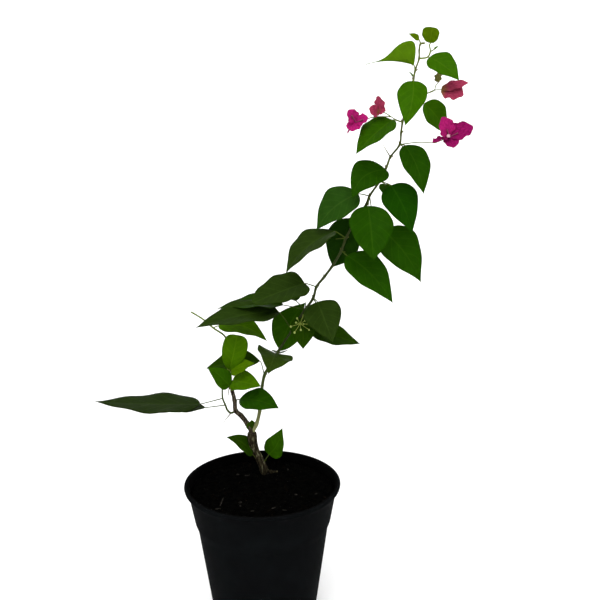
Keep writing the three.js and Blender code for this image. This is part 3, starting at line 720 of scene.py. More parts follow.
CANE_SPRAYS = [
    spray_of(
        "cane_spray_1",
        "deep",
        [[19, 78, 331], [15, 61, 347], [13, 61, 347]],
        leaf(1, [17, 42, 112], [60, 31], [-11, 168, -32], shape=(0.95, 1.2)),
        leaf(3, [10, -20, 80], [26, 17], [-15, 85, 0]),
        leaf(3, [6, 15, 253], [44, 38], [-10, 262, -20], droop=35, shape=(0.42, 1.3), tone="drab"),
    ),
    spray_of(
        "cane_spray_2",
        "deep",
        [[15.5, 56, 350], [14, 58, 348], [12, 60, 346], [14, 57, 349]],
        leaf(2, [26, 55, 207], [84, 46], [-6, 197, -16], tone="sheen"),
        leaf(4, [8, -60, 245], [32, 26], [-68, 265, 0]),
        leaf(4, [11, 25, 90], [56, 36], [-62, 190, -50], shape=(1.25, 1.0), bow=-0.05, tone="fresh"),
        leaf(4, [23, 9, 167], [66, 38], [-2, 183, -8]),
        leaf(4, [26, -64, 72], [56, 31], [-19, 7, 34], bow=-0.03),
        leaf(4, [14, 30, 140], [44, 26], [10, 125, 0]),
    ),
    spray_of(
        "cane_spray_3",
        "deep",
        [[14.5, 57, 352], [12, 73, 344], [12.5, 53, 349], [13.5, 54, 352]],
        leaf(1, [9, -14, 298], [46, 38], [-46, 296, 22], tone="sheen"),
        leaf(1, [14, -55, 50], [38, 24], [-38, 75, 0]),
        leaf(2, [14.5, 21, 212], [57, 41], [-14, 204, -25], droop=8, shape=(0.26, 0.6), tone="sheen"),
    ),
    spray_of(
        "cane_spray_4",
        "mid",
        [[18, 60, 350], [13.5, 70, 349], [20, 62, 351], [17.5, 57, 351], [9.5, 68, 343]],
        leaf(1, [8, -28, 318], [64, 36], [-43, 338, 42], bow=0.05),
        leaf(1, [14, -20, 45], [40, 24], [-30, 50, 0]),
        leaf(2, [16, 30, 214], [63, 42], [-35, 205, -8], bow=-0.1, tone="sheen"),
        leaf(2, [14, -10, 140], [38, 22], [-15, 150, 0]),
        leaf(3, [10, 4, 128], [53, 37], [-71, 153, -92], shape=(0.75, 1.1), bow=0.06, tone="shaded"),
        leaf(3, [31, -23, 17], [66, 41], [-54, 6, 72], bow=0.05, shape=(0.55, 1.3)),
        leaf(5, [12, 12, 200], [53, 36], [-41, 180, -52], bow=-0.09, tone="hazy"),
        leaf(5, [12, -45, 256], [53, 43], [-64, 279, 0], shape=(0.6, 1.02)),
        leaf(5, [18, -62, 70], [44, 27], [-40, 85, 0]),
    ),
    spray_of(
        "cane_spray_5",
        "mid",
        [[17, 56, 354], [13.5, 65, 355], [11, 69, 353]],
        leaf(1, [12, -22, 14], [51, 35], [-64, 336, 56], bow=0.04, shape=(0.5, 1.3), tone="clear"),
        leaf(1, [12, -20, 60], [34, 20], [-50, 60, 0]),
        leaf(3, [13, -61, 226], [44, 31], [-35, 205, -52], bow=-0.19),
        thorns=[(3, [19, 55, 205])],
    ),
    spray_of(
        "flowering_spray",
        "fresh",
        [[14.5, 54, 353], [10.5, 84, 333], [10, 83, 337], [22.5, 77, 349]],
        leaf(1, [6, -6, 316], [49, 29], [-64, 321, 32], bow=0.05, tone="mid"),
        leaf(1, [14, -32, 25], [34, 20], [-40, 70, 0]),
        leaf(3, [12, 12, 212], [49, 34], [-37, 207, -18]),
        leaf(4, [18, -18, 26], [39, 26], [-48, 24, 80], bow=0.04, tone="bright"),
        leaf(4, [6, -10, 80], [26, 15], [-30, 70, 0]),
        blooms=[
            (
                1,
                [[17, 6, 357], [15.5, -2, 353]],
                head(
                    [[14, 21, 355]],
                    "magenta",
                    ([21, 18], [64, 208, -88]),
                    # The three bracts away from the lamp take the magenta paper in painted shade.
                    ([25, 22], [24, 10, 38], "deep magenta"),
                    ([15, 15], [-36, 282, 10], "deep magenta"),
                    ([18, 16], [-14, 204, -2], "deep magenta"),
                    flower=[9, 12, 256],
                ),
            ),
            (
                3,
                [[9, 22, 194], [3.5, 32, 199]],
                head(
                    [[7.5, 30, 180], [5.5, -4, 190]],
                    "faded",
                    ([16, 15], [79, 262, -46]),
                    ([11, 9], [11, 302, 48]),
                    ([12, 12], [22, 214, -76]),
                ),
                head(
                    [[16, 0, 188], [18, -15, 190]],
                    "magenta",
                    ([14, 15], [55, 202, -70]),
                    ([13, 14], [18, 335, 50]),
                    ([13, 15], [-35, 248, -6]),
                    ([13, 4], [-50, 196, -20]),
                ),
            ),
            (
                4,
                [[17, 12, 7]],
                head(
                    [[8, 23, 344], [6.5, 4, 342]],
                    "faded",
                    ([25, 12], [14, 355, 42]),
                    ([21, 24], [-14, 345, 40]),
                ),
                head(
                    [[8, 23, 344], [4.5, 70, 318], [3.5, 50, 0]],
                    "unopened",
                    ([10, 11], [81, 314, 0]),
                    ([8, 9], [60, 150, 0]),
                ),
            ),
        ],
    ),
    spray_of(
        "tip_spray",
        "young",
        [[16.5, 75, 346], [8, 81, 359], [11.5, 73, 343], [7.5, 89, 354], [5.5, 76, 312], [4, 10, 353]],
        leaf(1, [6, -8, 262], [45, 29], [-60, 246, 0], bow=0.07, tone="bright"),
        leaf(2, [5.5, 75, 215], [46, 42], [1, 188, 16], fold=60, droop=36, shape=(1.0, 4.2)),
        leaf(2, [5, -65, 205], [6, 3], [45, 190, -40]),
        leaf(5, [4, 70, 180], [11.5, 7], [27, 193, -60], tone="olive"),
        twigs=[
            {
                "at": 3,
                "links": [[8, 10, 352], [5, 64, 340], [6, 78, 214]],
                "leaves": [
                    leaf(1, [1.5, -20, 330], [36, 25], [-35, 330, 44], bow=0.04, tone="bright"),
                    leaf(2, [4, 30, 340], [5, 3], [35, 350, 40]),
                    leaf(3, [2, 60, 20], [14, 17], [78, 290, 130], shape=(0.5, 0.3), tone="olive"),
                ],
            }
        ],
    ),
]

LOW_SPRAYS = [
    spray_of(
        "base_leaf_left",
        "deep",
        [],
        leaf(0, [18, 52, 208], [36, 19], [40, 197, -46], bow=-0.11),
        root=trunk_nodes[1],
    ),
    spray_of(
        "base_leaf_right",
        "fresh",
        [],
        leaf(0, [15, 58, 340], [36, 25], [64, 340, 70], bow=-0.12),
        root=trunk_nodes[1],
    ),
    spray_of(
        "fork_leaf",
        "deep",
        [],
        leaf(0, [5, 60, 263], [13, 11], [75, 283, 12]),
        root=trunk_nodes[4],
    ),
    spray_of(
        "stub_leaf",
        "mid",
        [],
        leaf(0, [8, 21, 318], [48, 28], [-1, 329, 34], shape=(0.8, 1.2), bow=0.04),
        root=stub_nodes[4],
    ),
    spray_of(
        "lower_left_spray",
        "deep",
        [[5.5, -14, 202], [5.5, 45, 203], [6, 71, 210], [8, 71, 191], [12.5, 85, 268]],
        leaf(3, [21, -3, 190], [68, 27], [-3, 182, 0], droop=10, fold=3, tone="dusky"),
        leaf(
            4,
            [24, -14, 180],
            [108, 44],
            [2, 180, -7],
            droop=6,
            fold=3,
            shape=(0.6, 1.15),
            bow=0.05,
            tone="dusky",
        ),
        leaf(5, [12.5, 18, 312], [33, 20], [46, 205, -75], bow=-0.05, tone="fresh"),
        root=stub_nodes[3],
        thorns=[(1, [15, -48, 200])],
    ),
    spray_of(
        "young_shoot",
        "young",
        [
            *([5.5, 60, 201], [7, 75, 326], [9.5, 79, 180], [16.5, 82, 120], [19, 83, 118]),
            *([16, 39, 176], [12, 43, 179], [9.5, 35, 180], [6, 32, 181]),
        ],
        leaf(2, [2.5, 5, 323], [35, 25], [0, 329, 38], shape=(0.5, 1.1)),
        leaf(3, [4, 20, 320], [30, 19], [24, 335, 44], tone="lime"),
        leaf(3, [3, 60, 330], [41, 26], [74, 325, 130], droop=40, shape=(0.65, 0.28)),
        leaf(6, [6, 20, 355], [52, 29], [-20, 5, 30], bow=0.15, shape=(0.5, 1.0)),
        root=stub_nodes[5],
        thorns=[(1, [12, -78, 225])],
    ),
]


# ---- long cane ----
# The one live cane, about 45 cm long, leaning out over the pot's rim. It is cream-green and smooth at its
# foot, green above and olive at the tip, and swells at each node, where a small dark bud sits.

CANE_RADII = (1.75, 0.7)
CANE_SWELL = 0.75
SWELL_REACH = 20
BUD_LENGTH = 3.4
BUD_RADII = (1.0, 0.25)
BUD_LEAN = 42  # degrees that a bud stands off the cane
CANE_SIDES = 14
CANE_GRAIN = (1.2, 5)
CANE_RELIEF = 0.35


def mottled(tree, tone, spot_mm, detail, least, most):
    """A tone that is darker and lighter from spot to spot, and the noise that it follows."""
    place = add(tree, "TexCoord").outputs["Object"]
    noise = add(tree, "TexNoise", {"Vector": place, "Scale": 1 / (spot_mm * MM), "Detail": detail})
    shade = add(tree, "MapRange", {"Value": noise, "To Min": least, "To Max": most})
    return add(tree, "VectorMath", {0: tone, "Scale": shade}, operation="SCALE"), noise


def rising_bark(name, tones, spot_mm, finish):
    """Smooth, finely flecked bark whose tone changes with height, from a tone for each height."""
    material, tree, shader = surface(name, finish)
    heights = list(tones)
    place = add(tree, "TexCoord").outputs["Object"]
    level = add(tree, "SeparateXYZ", {0: place}).outputs["Z"]
    low, high = heights[0] * MM, heights[-1] * MM
    rise = add(tree, "MapRange", {"Value": level, "From Min": low, "From Max": high})
    span = heights[-1] - heights[0]
    levels = [(height - heights[0]) / span for height in heights]
    ramp = tone_ramp(tree, rise, tones.values(), levels)
    colour, spots = mottled(tree, ramp, spot_mm, 4, 0.6, 1.35)
    bump = add(tree, "Bump", {"Height": spots, "Distance": 0.25 * MM, "Strength": 0.6})
    feed(tree, shader, {"Base Color": colour, "Normal": bump})
    return material


cane_nodes = [under_fork, *grow(fork, BARE_CANE + [link for s in CANE_SPRAYS for link in s["links"]])]
cane_stem = stem_through(cane_nodes)
cane_taper = taper(CANE_RADII, cane_stem["length"])
cane_radii = swollen(cane_stem, lambda at: cane_taper(at) + CANE_SWELL * math.exp(-at / SWELL_REACH), 2)
# The darker tones at 300 and 430 mm are partly painted shade, where the leaves crowd round the cane.
cane_bark = rising_bark(
    "smooth_green_bark",
    {186: "#8f8f63", 205: "#767a4e", 235: "#434f24", 300: "#2f391b", 430: "#394020", 570: "#565e28"},
    2.5,
    {"Roughness": 0.5, "Specular IOR Level": 0.06},
)
cane_line = (cane_stem["points"], cane_radii)
cane = wood("cane_wood", [cane_line], cane_bark, CANE_SIDES, CANE_RELIEF, CANE_GRAIN)
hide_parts("main_cane")


# ---- stalks, thorns and buds ----
# Leaf stalks are as thin as string, green and finely downy. Thorns are longer, stiff and browner, and the
# buds in the leaf joints are dark little points.

SHOOT_RADII = (1.2, 0.8)
STALK_RADII = (0.62, 0.48)
STALK_SUNK = 2
THORN_RADII = (0.7, 0.12)
TWIG_RADII = (0.9, 0.6)
FLOWER_STALK_RADII = (0.5, 0.42)
STALK_GRAIN = (1, 4)
STALK_FINISH = {"Roughness": 0.6, "Specular IOR Level": 0.05}
BUDLESS_NODES = (3, 4)  # how many of the cane's nodes have no bud, at its foot and at its tip

stems = {"cane": [], "young": [], "thorn": []}
blades = []
heads = []


def add_stem(kind, nodes, radii, steps=6):
    """Queues a tapered stem through its nodes."""
    stems[kind].append(tapered(nodes, radii, steps))


def dress(nodes, spray, stuff):
    """Queues the stalks, blades, thorns and flower heads that stand at one spray's nodes."""
    for twig in spray.get("twigs", []):
        twig_nodes = grow(nodes[twig["at"]], twig["links"])
        add_stem(stuff, twig_nodes, TWIG_RADII)
        dress(twig_nodes, {**twig, "node": spray["node"], "tone": spray["tone"]}, stuff)
    for one in spray["leaves"]:
        base = grow(nodes[one["at"]], [one["stalk"]])[-1]
        inside = base + STALK_SUNK * heading(*one["lie"][:2])
        add_stem(stuff, [nodes[one["at"]], base, inside], STALK_RADII)
        form = dict(one["form"])
        tone = form.pop("tone", spray["tone"])
        blades.append({"base": base, "size": one["size"], "lie": one["lie"], "tone": tone, "form": form})
    for at, link in spray.get("thorns", []):
        add_stem("thorn", grow(nodes[at], [link]), THORN_RADII)
    for at, shared, *own_heads in spray.get("blooms", []):
        shared_nodes = grow(nodes[at], shared)
        add_stem(stuff, shared_nodes, FLOWER_STALK_RADII)
        for one in own_heads:
            own_nodes = grow(shared_nodes[-1], one["stalks"])
            add_stem(stuff, own_nodes, FLOWER_STALK_RADII)
            heads.append({**one, "centre": own_nodes[-1]})


first = 1 + len(BARE_CANE)
for spray in CANE_SPRAYS:
    last = first + len(spray["links"])
    dress(cane_nodes[first : last + 1], spray, "young" if spray["node"] == "tip_spray" else "cane")
    first = last
for spray in LOW_SPRAYS:
    nodes = grow(spray["root"], spray["links"])
    stuff = "young" if spray["node"] == "young_shoot" else "cane"
    if len(nodes) > 1:
        add_stem(stuff, nodes, SHOOT_RADII, steps=10)
    dress(nodes, spray, stuff)

for number in range(BUDLESS_NODES[0], len(cane_nodes) - BUDLESS_NODES[1]):
    node = cane_nodes[number]
    ahead = (cane_nodes[number + 1] - cane_nodes[number - 1]).normalized()
    side = 1 if number % 2 else -1
    lean = Matrix.Rotation(math.radians(side * BUD_LEAN), 3, "Y")
    add_stem("thorn", [node, node + BUD_LENGTH * (lean @ ahead)], BUD_RADII, steps=3)

stalk_tones = {190: "#39431a", 300: "#39491b", 430: "#48581c", 570: "#68722e"}
stalk_green = rising_bark("downy_green_stalk", stalk_tones, 3, STALK_FINISH)
shoot_tones = {190: "#56602a", 260: "#5c6c28", 400: "#5c6c26", 590: "#66742c"}
shoot_green = rising_bark("young_shoot_skin", shoot_tones, 3, {**STALK_FINISH, "Roughness": 0.55})
thorn_tones = {190: "#4a4426", 300: "#3c3f1e", 430: "#5c5a34", 570: "#6d6a42"}
thorn_brown = rising_bark("woody_thorn", thorn_tones, 2, STALK_FINISH)
stalks = wood("leaf_stalks", stems["cane"], stalk_green, 8, 0.1, STALK_GRAIN)
shoots = wood("young_shoots", stems["young"], shoot_green, 10, 0.12, STALK_GRAIN)
thorns = wood("thorns_and_buds", stems["thorn"], thorn_brown, 8, 0.1, STALK_GRAIN)


# ---- leaves ----
# Broad pointed leaves, thin and slightly quilted between the veins, folded a little along the midrib and
# arched down to the tip. Above they have a thin waxy skin, and underneath they are paler and matt.

BLADE_FACETS = (26, 6)  # along a blade, and across each half of it
SMALL_BLADE = 14  # length under which a blade has fewer facets
SMALL_FACETS = (12, 3)
ROW_SHIFT = 0.1  # how much closer together the facets stand at the base and the tip
BLUNT_END = 0.002  # share of the length by which base and tip stop short of a point
BLADE_THICKNESS = 0.45
THIN_MARGIN = 0.6  # how much of its thickness a blade loses by its margin
BLADE_SHAPE = (0.6, 1.2)  # how round the base is and how drawn-out the tip
FOLD = 12
DROOP = 20
VEIN_PAIRS = 6.5
VEIN_SWEEP = 0.3  # how far along the blade a side vein has run when it meets the margin
QUILT = 0.012  # how proud the blade stands between its side veins, over its width
RIPPLE = 0.03  # how far the margin waves up and down, over the blade's width
RIPPLES = 2.6
HALF_PHASE = 1.3  # how far apart the two margins wave
RIB_WIDTH = 0.07  # share of the half blade
VEIN_WIDTH = 0.09  # share of the way from one side vein to the next
VEIN_SHOWS = 0.42
PALE_UNDERSIDE = 0.45
MOTTLE_MM = 7
LEAF_ROUGHNESS = (0.42, 0.75)  # above and underneath

# Each skin's blade and its veins. A few tones hold painted sheen or painted shade, as marked.
LEAF_TONES = {
    "deep": ("#1c3401", "#304a08"),
    # Painted reflection, darker: grey laid into the base colour for the sky reflected by the flat leaves at
    # the far left.
    "dusky": ("#1a2709", "#2a3a15"),
    "shaded": ("#142f03", "#22420a"),
    # Painted reflection, pale: a whitish grey laid into the base colour for the sky reflected by an upturned
    # leaf.
    "hazy": ("#1f3d0c", "#345219"),
    # Painted reflection on an olive leaf: grey laid into the base colour for the sky reflected by a flat
    # leaf.
    "drab": ("#293b0d", "#3f501b"),
    # Painted sheen: a grey-green base colour that stands for the sky reflected by leaves that face up.
    "sheen": ("#1f3009", "#324616"),
    "mid": ("#1a3c01", "#2e500a"),
    "clear": ("#133801", "#264e08"),
    "fresh": ("#254801", "#3c600c"),
    "bright": ("#2d5401", "#476a10"),
    "young": ("#3a5e01", "#587a12"),
    "lime": ("#486a01", "#658216"),
    "olive": ("#445e01", "#607614"),
}


def leaf_skin(name, tone, rib):
    """A waxy leaf surface with a pale midrib and side veins. Underneath it is paler and duller."""
    material, tree, shader = surface(name, {"Specular IOR Level": 0.008})
    spot = add(tree, "SeparateXYZ", {0: add(tree, "UVMap", uv_map="blade")})
    signed = add(tree, "MapRange", {"Value": spot.outputs[0], "To Min": -1.0})
    across = add(tree, "Math", {0: signed}, operation="ABSOLUTE")
    midrib = add(tree, "MapRange", {"Value": across, "From Max": RIB_WIDTH, "To Min": 1, "To Max": 0})
    swept = add(tree, "Math", {0: across, 1: -VEIN_SWEEP, 2: spot.outputs[1]}, operation="MULTIPLY_ADD")
    count = add(tree, "Math", {0: swept, 1: VEIN_PAIRS}, operation="MULTIPLY")
    saw = add(tree, "Math", {0: count, 1: 0.5}, operation="PINGPONG")
    vein = add(tree, "MapRange", {"Value": saw, "From Max": VEIN_WIDTH, "To Min": 0.6, "To Max": 0})
    veins = add(tree, "Math", {0: midrib, 1: vein}, operation="MAXIMUM")
    shows = add(tree, "Math", {0: veins, 1: VEIN_SHOWS}, operation="MULTIPLY")
    ribbed = add(tree, "Mix", {"Factor": shows, 6: tone, 7: rib}, data_type="RGBA").outputs[2]
    under = add(tree, "Attribute", attribute_name="underside").outputs["Fac"]
    pale = add(tree, "Math", {0: under, 1: PALE_UNDERSIDE}, operation="MULTIPLY")
    both = add(tree, "Mix", {"Factor": pale, 6: ribbed, 7: rib}, data_type="RGBA").outputs[2]
    colour, mottle = mottled(tree, both, MOTTLE_MM, 5, 0.75, 1.25)
    waxy, dull = LEAF_ROUGHNESS
    rough = add(tree, "MapRange", {"Value": under, "To Min": waxy, "To Max": dull})
    sunk = add(tree, "Math", {0: mottle, 1: veins}, operation="SUBTRACT")
    bump = add(tree, "Bump", {"Height": sunk, "Distance": 0.25 * MM, "Strength": 0.5})
    feed(tree, shader, {"Base Color": colour, "Roughness": rough, "Normal": bump})
    return material


def blade_points(base, size, lie, form):
    """A blade's rows of (point, across, along), upper skin then lower, by the rule of its outline."""
    length, width = size
    pitch, bearing, roll = lie
    ahead = heading(pitch, bearing)
    level = Vector((-math.sin(math.radians(bearing)), math.cos(math.radians(bearing)), 0))
    turn = Matrix.Rotation(math.radians(roll), 3, ahead)
    side = turn @ level
    face = turn @ ahead.cross(level)
    bend = math.radians(form.get("droop", DROOP))
    fold = math.radians(form.get("fold", FOLD))
    bow = form.get("bow", 0)
    base_round, tip_drawn = form.get("shape", BLADE_SHAPE)
    widest = base_round / (base_round + tip_drawn)
    ripple = form.get("ripple", RIPPLE) * width
    phase = form.get("phase", 0)
    steps, halves = form.get("facets", BLADE_FACETS)
    thickness = form.get("thickness", BLADE_THICKNESS)
    skins = []
    for skin in (0.5, -0.5):
        rows = []
        for i in range(steps + 1):
            even = i / steps
            t = even - ROW_SHIFT * math.sin(2 * math.pi * even)
            t = min(max(t, BLUNT_END), 1 - BLUNT_END)
            outline = (t / widest) ** base_round * ((1 - t) / (1 - widest)) ** tip_drawn
            half = width / 2 * outline
            slope = bend * (0.5 - t)
            run = length / bend * (math.sin(bend / 2) - math.sin(slope))
            rise = length / bend * (math.cos(slope) - math.cos(bend / 2))
            row = []
            for j in range(-halves, halves + 1):
                u = j / halves
                vein = VEIN_PAIRS * (t - VEIN_SWEEP * abs(u))
                quilt = QUILT * width * abs(math.sin(math.pi * vein)) * abs(u) ** 0.5 * (1 - abs(u))
                turns = 2 * math.pi * RIPPLES * t + phase + (u > 0) * HALF_PHASE
                wave = ripple * u * u * outline * math.sin(turns)
                edge = 1 - THIN_MARGIN * abs(u) ** 3
                lift = abs(u) * half * math.sin(fold) + quilt + wave + skin * thickness * edge
                forward = run - lift * math.sin(slope)
                point = base + ahead * forward + face * (rise + lift * math.cos(slope))
                point += side * (u * half * math.cos(fold) + 4 * bow * length * t * (1 - t))
                row.append((point, 0.5 + 0.5 * u, t))
            rows.append(row)
        skins.append(rows)
    return skins


def blade_piece(name, forms, materials):
    """Joins blades into one piece, with a UV map of across and along and a mark on the lower skin."""
    points, faces, spots, under, stuffs = [], [], [], [], []
    for form in forms:
        start = len(points)
        skins = blade_points(form["base"], form["size"], form["lie"], form["form"])
        rows, columns = len(skins[0]), len(skins[0][0])
        for mark, rows_of_skin in enumerate(skins):
            for row in rows_of_skin:
                for point, across, along in row:
                    points.append(point * MM)
                    spots.append((across, along))
                    under.append(float(mark))
        own = []

        def at(skin, row, column):
            return start + (skin * rows + row) * columns + column

        for i in range(rows - 1):
            for j in range(columns - 1):
                own.append([at(0, i, j), at(0, i + 1, j), at(0, i + 1, j + 1), at(0, i, j + 1)])
                own.append([at(1, i, j), at(1, i, j + 1), at(1, i + 1, j + 1), at(1, i + 1, j)])
            for j in (0, columns - 1):
                own.append([at(0, i, j), at(1, i, j), at(1, i + 1, j), at(0, i + 1, j)])
        for j in range(columns - 1):
            for i in (0, rows - 1):
                own.append([at(0, i, j), at(0, i, j + 1), at(1, i, j + 1), at(1, i, j)])
        faces += own
        stuffs += [form["stuff"]] * len(own)
    mesh = mesh_of(name, points, faces)
    mesh.polygons.foreach_set("material_index", stuffs)
    layer = mesh.uv_layers.new(name="blade")
    for loop in mesh.loops:
        layer.data[loop.index].uv = spots[loop.vertex_index]
    marks = mesh.attributes.new("underside", "FLOAT", "POINT")
    marks.data.foreach_set("value", under)
    for material in materials:
        mesh.materials.append(material)
    piece = placed(name, mesh)
    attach(piece, "root")
    return piece


YOUNG = ("young", "lime", "olive")
leaf_skins = [leaf_skin(f"{tone}_leaf_skin", *map(linear, pair)) for tone, pair in LEAF_TONES.items()]
tones = list(LEAF_TONES)
draw = random.Random(5)
for form in blades:
    form["form"].setdefault("phase", draw.uniform(0, 2 * math.pi))
    form["stuff"] = tones.index(form["tone"])
    if form["size"][0] < SMALL_BLADE:
        form["form"]["facets"] = SMALL_FACETS
mature = [form for form in blades if form["tone"] not in YOUNG]
young = [form for form in blades if form["tone"] in YOUNG]
mature_leaves = blade_piece("mature_leaves", mature, leaf_skins)
young_leaves = blade_piece("young_leaves", young, leaf_skins)
low_nodes = [spray["node"] for spray in LOW_SPRAYS if spray["node"] != "young_shoot"]
cane_sprays = [spray["node"] for spray in CANE_SPRAYS if spray["node"].startswith("cane_spray")]
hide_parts(*low_nodes, *cane_sprays)
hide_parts("young_shoot", "tip_spray")


# ---- blossom ----
# What looks like petals are papery bracts in threes round small tubular flowers. The open ones are magenta,
# the oldest have faded to a dusty pink with an olive base, and one head is still a bud.

BRACT_SHAPE = (0.55, 0.7)
BRACT_FOLD = 8
BRACT_THICKNESS = 0.25
BRACT_RIPPLE = 0.07
BRACT_FACETS = (18, 6)
NET_STRETCH = (5, 3.2, 1)  # how much finer the net of veins is across a bract than along it
TUBE_LENGTH = 9
TUBE_RADIUS = 0.75
TUBE_LEAN = 24  # degrees between a tube and the bract that it stands on
TUBE_WAIST = 0.25  # how much slimmer a tube is half way up
DOWN_GRAIN = (1, 2)
STAR_RADIUS = 1.9
STAR_LOBES = 5
STAR_NOTCH = 0.38  # how deep the star is cut between its lobes
STAR_RINGS = [(0.7, -0.6), (1.1, 0.0), (2.1, 0.25), (1.0, 0.55)]  # (radius, height) up its tube and face
# Each paper's blade, the net of its veins, and its foot.
BRACT_TONES = {
    "magenta": ("#9f1c62", "#7c124c", "#8c1656"),
    # The magenta paper darkened for the bracts on a head's shaded side: painted shade.
    "deep magenta": ("#881254", "#60083a", "#74104a"),
    "faded": ("#96344e", "#78263e", "#765a2c"),
    "unopened": ("#6b6a34", "#5a5a2c", "#6b6a34"),
}


def bract_paper(name, tone, vein, foot):
    """Dry papery bract: matt, with a net of darker veins that run up from its foot."""
    material, tree, shader = surface(name, {"Roughness": 0.7, "Specular IOR Level": 0.01})
    spot = add(tree, "UVMap", uv_map="blade")
    along = add(tree, "SeparateXYZ", {0: spot}).outputs[1]
    stretch = add(tree, "Mapping", {"Vector": spot, "Scale": NET_STRETCH})
    net = add(tree, "TexVoronoi", {"Vector": stretch, "Scale": 1.6}, feature="DISTANCE_TO_EDGE")
    line = add(tree, "MapRange", {"Value": net, "From Max": 0.14, "To Min": 0.8, "To Max": 0})
    veined = add(tree, "Mix", {"Factor": line, 6: tone, 7: vein}, data_type="RGBA").outputs[2]
    low = add(tree, "MapRange", {"Value": along, "From Max": 0.3, "To Min": 1, "To Max": 0})
    colour = add(tree, "Mix", {"Factor": low, 6: veined, 7: foot}, data_type="RGBA").outputs[2]
    bump = add(tree, "Bump", {"Height": net, "Distance": 0.3 * MM, "Strength": 0.5})
    feed(tree, shader, {"Base Color": colour, "Normal": bump})
    return material


papers = [
    bract_paper(f"{tone.replace(' ', '_')}_bract_paper", *map(linear, colours))
    for tone, colours in BRACT_TONES.items()
]
bracts = []
tubes = []
for one in heads:
    for size, lie, *own_tone in one["bracts"]:
        form = {
            "shape": BRACT_SHAPE,
            "fold": BRACT_FOLD,
            "thickness": BRACT_THICKNESS,
            "ripple": BRACT_RIPPLE,
            "phase": draw.uniform(0, 2 * math.pi),
            "facets": BRACT_FACETS,
        }
        stuff = list(BRACT_TONES).index(own_tone[0] if own_tone else one["tone"])
        bracts.append({"base": one["centre"], "size": size, "lie": lie, "form": form, "stuff": stuff})
    if one["tone"] == "magenta":
        for size, lie, *_ in one["bracts"][:2]:
            middle = heading(lie[0], lie[1])
            lean = (middle + math.tan(math.radians(TUBE_LEAN)) * Vector((0, -1, 0.2))).normalized()
            tubes.append([one["centre"], one["centre"] + TUBE_LENGTH * lean])
blossom = blade_piece("bracts", bracts, papers)
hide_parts("flowering_spray")


def matt_skin(name, tone):
    """A plain matt plant skin with a slight change of tone."""
    material, tree, shader = surface(name, {"Roughness": 0.6, "Specular IOR Level": 0.2})
    colour, _ = mottled(tree, linear(tone)[:3], 1.5, 3, 0.8, 1.2)
    feed(tree, shader, {"Base Color": colour})
    return material


# The flowers are downy tubes between the bracts. One is open, a small pale star with five notched lobes.
tube_lines = []
for nodes in tubes:
    stem = stem_through(nodes, 6)
    swells = [1 - TUBE_WAIST * math.sin(math.pi * at / stem["length"]) for at in stem["at"]]
    tube_lines.append((stem["points"], [TUBE_RADIUS * swell for swell in swells]))
tube_skin = matt_skin("downy_flower_tube", "#7c3550")
tube_piece = wood("flower_tubes", tube_lines, tube_skin, 10, 0.1, DOWN_GRAIN)


def star(centre, link):
    """The points and faces of a five-lobed star on its short tube, in millimetres."""
    ahead = heading(link[1], link[2])
    across = ahead.cross(Vector((0, 0, 1))).normalized()
    upright = across.cross(ahead)
    middle = centre + link[0] * ahead
    count = 10 * STAR_LOBES
    widest = max(size for size, _ in STAR_RINGS)
    points, faces = [centre.copy()], []
    for size, rise in STAR_RINGS:
        for i in range(count):
            angle = 2 * math.pi * i / count
            lobe = 1 - STAR_NOTCH + STAR_NOTCH * abs(math.cos(STAR_LOBES * angle / 2))
            radius = size * (lobe if size == widest else 1) * STAR_RADIUS / widest
            spoke = math.cos(angle) * across + math.sin(angle) * upright
            points.append(middle + rise * ahead + radius * spoke)
    for i in range(count):
        after = (i + 1) % count
        faces.append([0, 1 + i, 1 + after])
        for ring in range(len(STAR_RINGS) - 1):
            low, high = 1 + ring * count, 1 + (ring + 1) * count
            faces.append([low + i, high + i, high + after, low + after])
    faces.append([1 + (len(STAR_RINGS) - 1) * count + i for i in range(count)])
    return points, faces


for one in heads:
    if one["flower"]:
        star_points, star_faces = star(one["centre"], one["flower"])
        white_star = placed("white_star", mesh_of("white_star", scaled(star_points), star_faces))
        white_star.data.materials.append(matt_skin("white_flower", "#c8a0aa"))
        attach(white_star, "root")


# ---- pale bud cluster ----
# A loose cluster of unopened flower buds, pale yellow-green beads on thread-like stalks, in the joint of
# one of the lower leaves. They open out round a point in even steps of the golden angle.

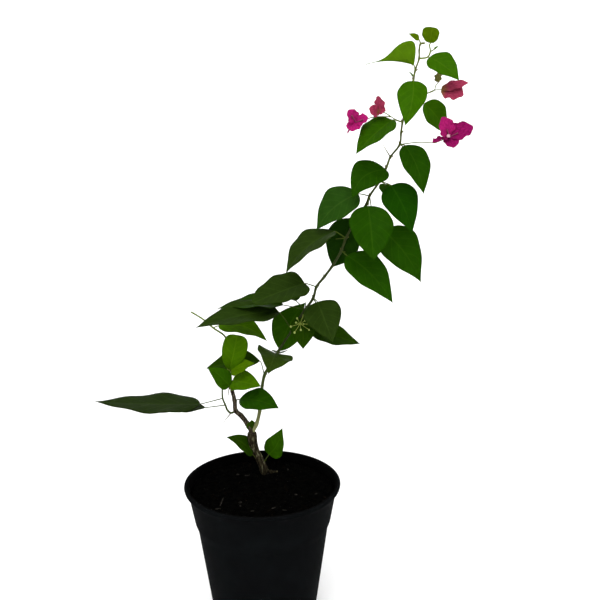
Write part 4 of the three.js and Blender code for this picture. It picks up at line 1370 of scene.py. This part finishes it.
CLUSTER_NODE = 11  # the cane's node that it stands at
CLUSTER_STALK = [17, -42, 245]
CLUSTER_BUDS = 9
CLUSTER_REACH = 13
CLUSTER_FLATNESS = 0.62  # its height over its width
CLUSTER_LAYERS = (0.35, 0.3)  # how far the nearest buds stand out, and how far one layer is from the next
CLUSTER_STALK_RADII = (0.5, 0.4)
CLUSTER_THREAD = (0.3, 0.25)
BEAD_RADIUS = 0.9
BEAD_SIZES = (0.85, 0.3)  # the smallest bud's size, and how much larger the largest is
BEAD_LENGTH = 1.25  # a bud's length over its width
GOLDEN_ANGLE = 137.5

cluster = grow(cane_nodes[CLUSTER_NODE], [CLUSTER_STALK])
threads = [tapered(cluster, CLUSTER_STALK_RADII, 4)]
beads = []
for i in range(CLUSTER_BUDS):
    out = math.sqrt((i + 0.6) / CLUSTER_BUDS)
    angle = math.radians(GOLDEN_ANGLE * i)
    ahead = CLUSTER_LAYERS[0] + CLUSTER_LAYERS[1] * (i % 3)
    aside = Vector((math.cos(angle), -ahead, CLUSTER_FLATNESS * math.sin(angle)))
    tip = cluster[-1] + CLUSTER_REACH * out * aside
    threads.append(tapered([cluster[-1], tip], CLUSTER_THREAD, 4))
    beads.append(tip)
thread_piece = wood("bud_threads", threads, matt_skin("pale_thread", "#7d8a3a"), 6, 0.05, DOWN_GRAIN)
bead_build = bmesh.new()
for i, tip in enumerate(beads):
    size = BEAD_RADIUS * (BEAD_SIZES[0] + BEAD_SIZES[1] * ((i * 7) % 5) / 4) * MM
    shape = Matrix.Translation(tip * MM) @ Matrix.Diagonal((size, size, BEAD_LENGTH * size, 1))
    bmesh.ops.create_icosphere(bead_build, subdivisions=2, radius=1, matrix=shape)
bead_mesh = mesh_from(bead_build, "bud_beads")
bead_mesh.polygons.foreach_set("use_smooth", [True] * len(bead_mesh.polygons))
bead_piece = placed("bud_beads", bead_mesh)
bead_piece.data.materials.append(matt_skin("pale_bud_skin", "#8c9b50"))
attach(bead_piece, "root")


# ---- final update ----

bpy.context.view_layer.update()
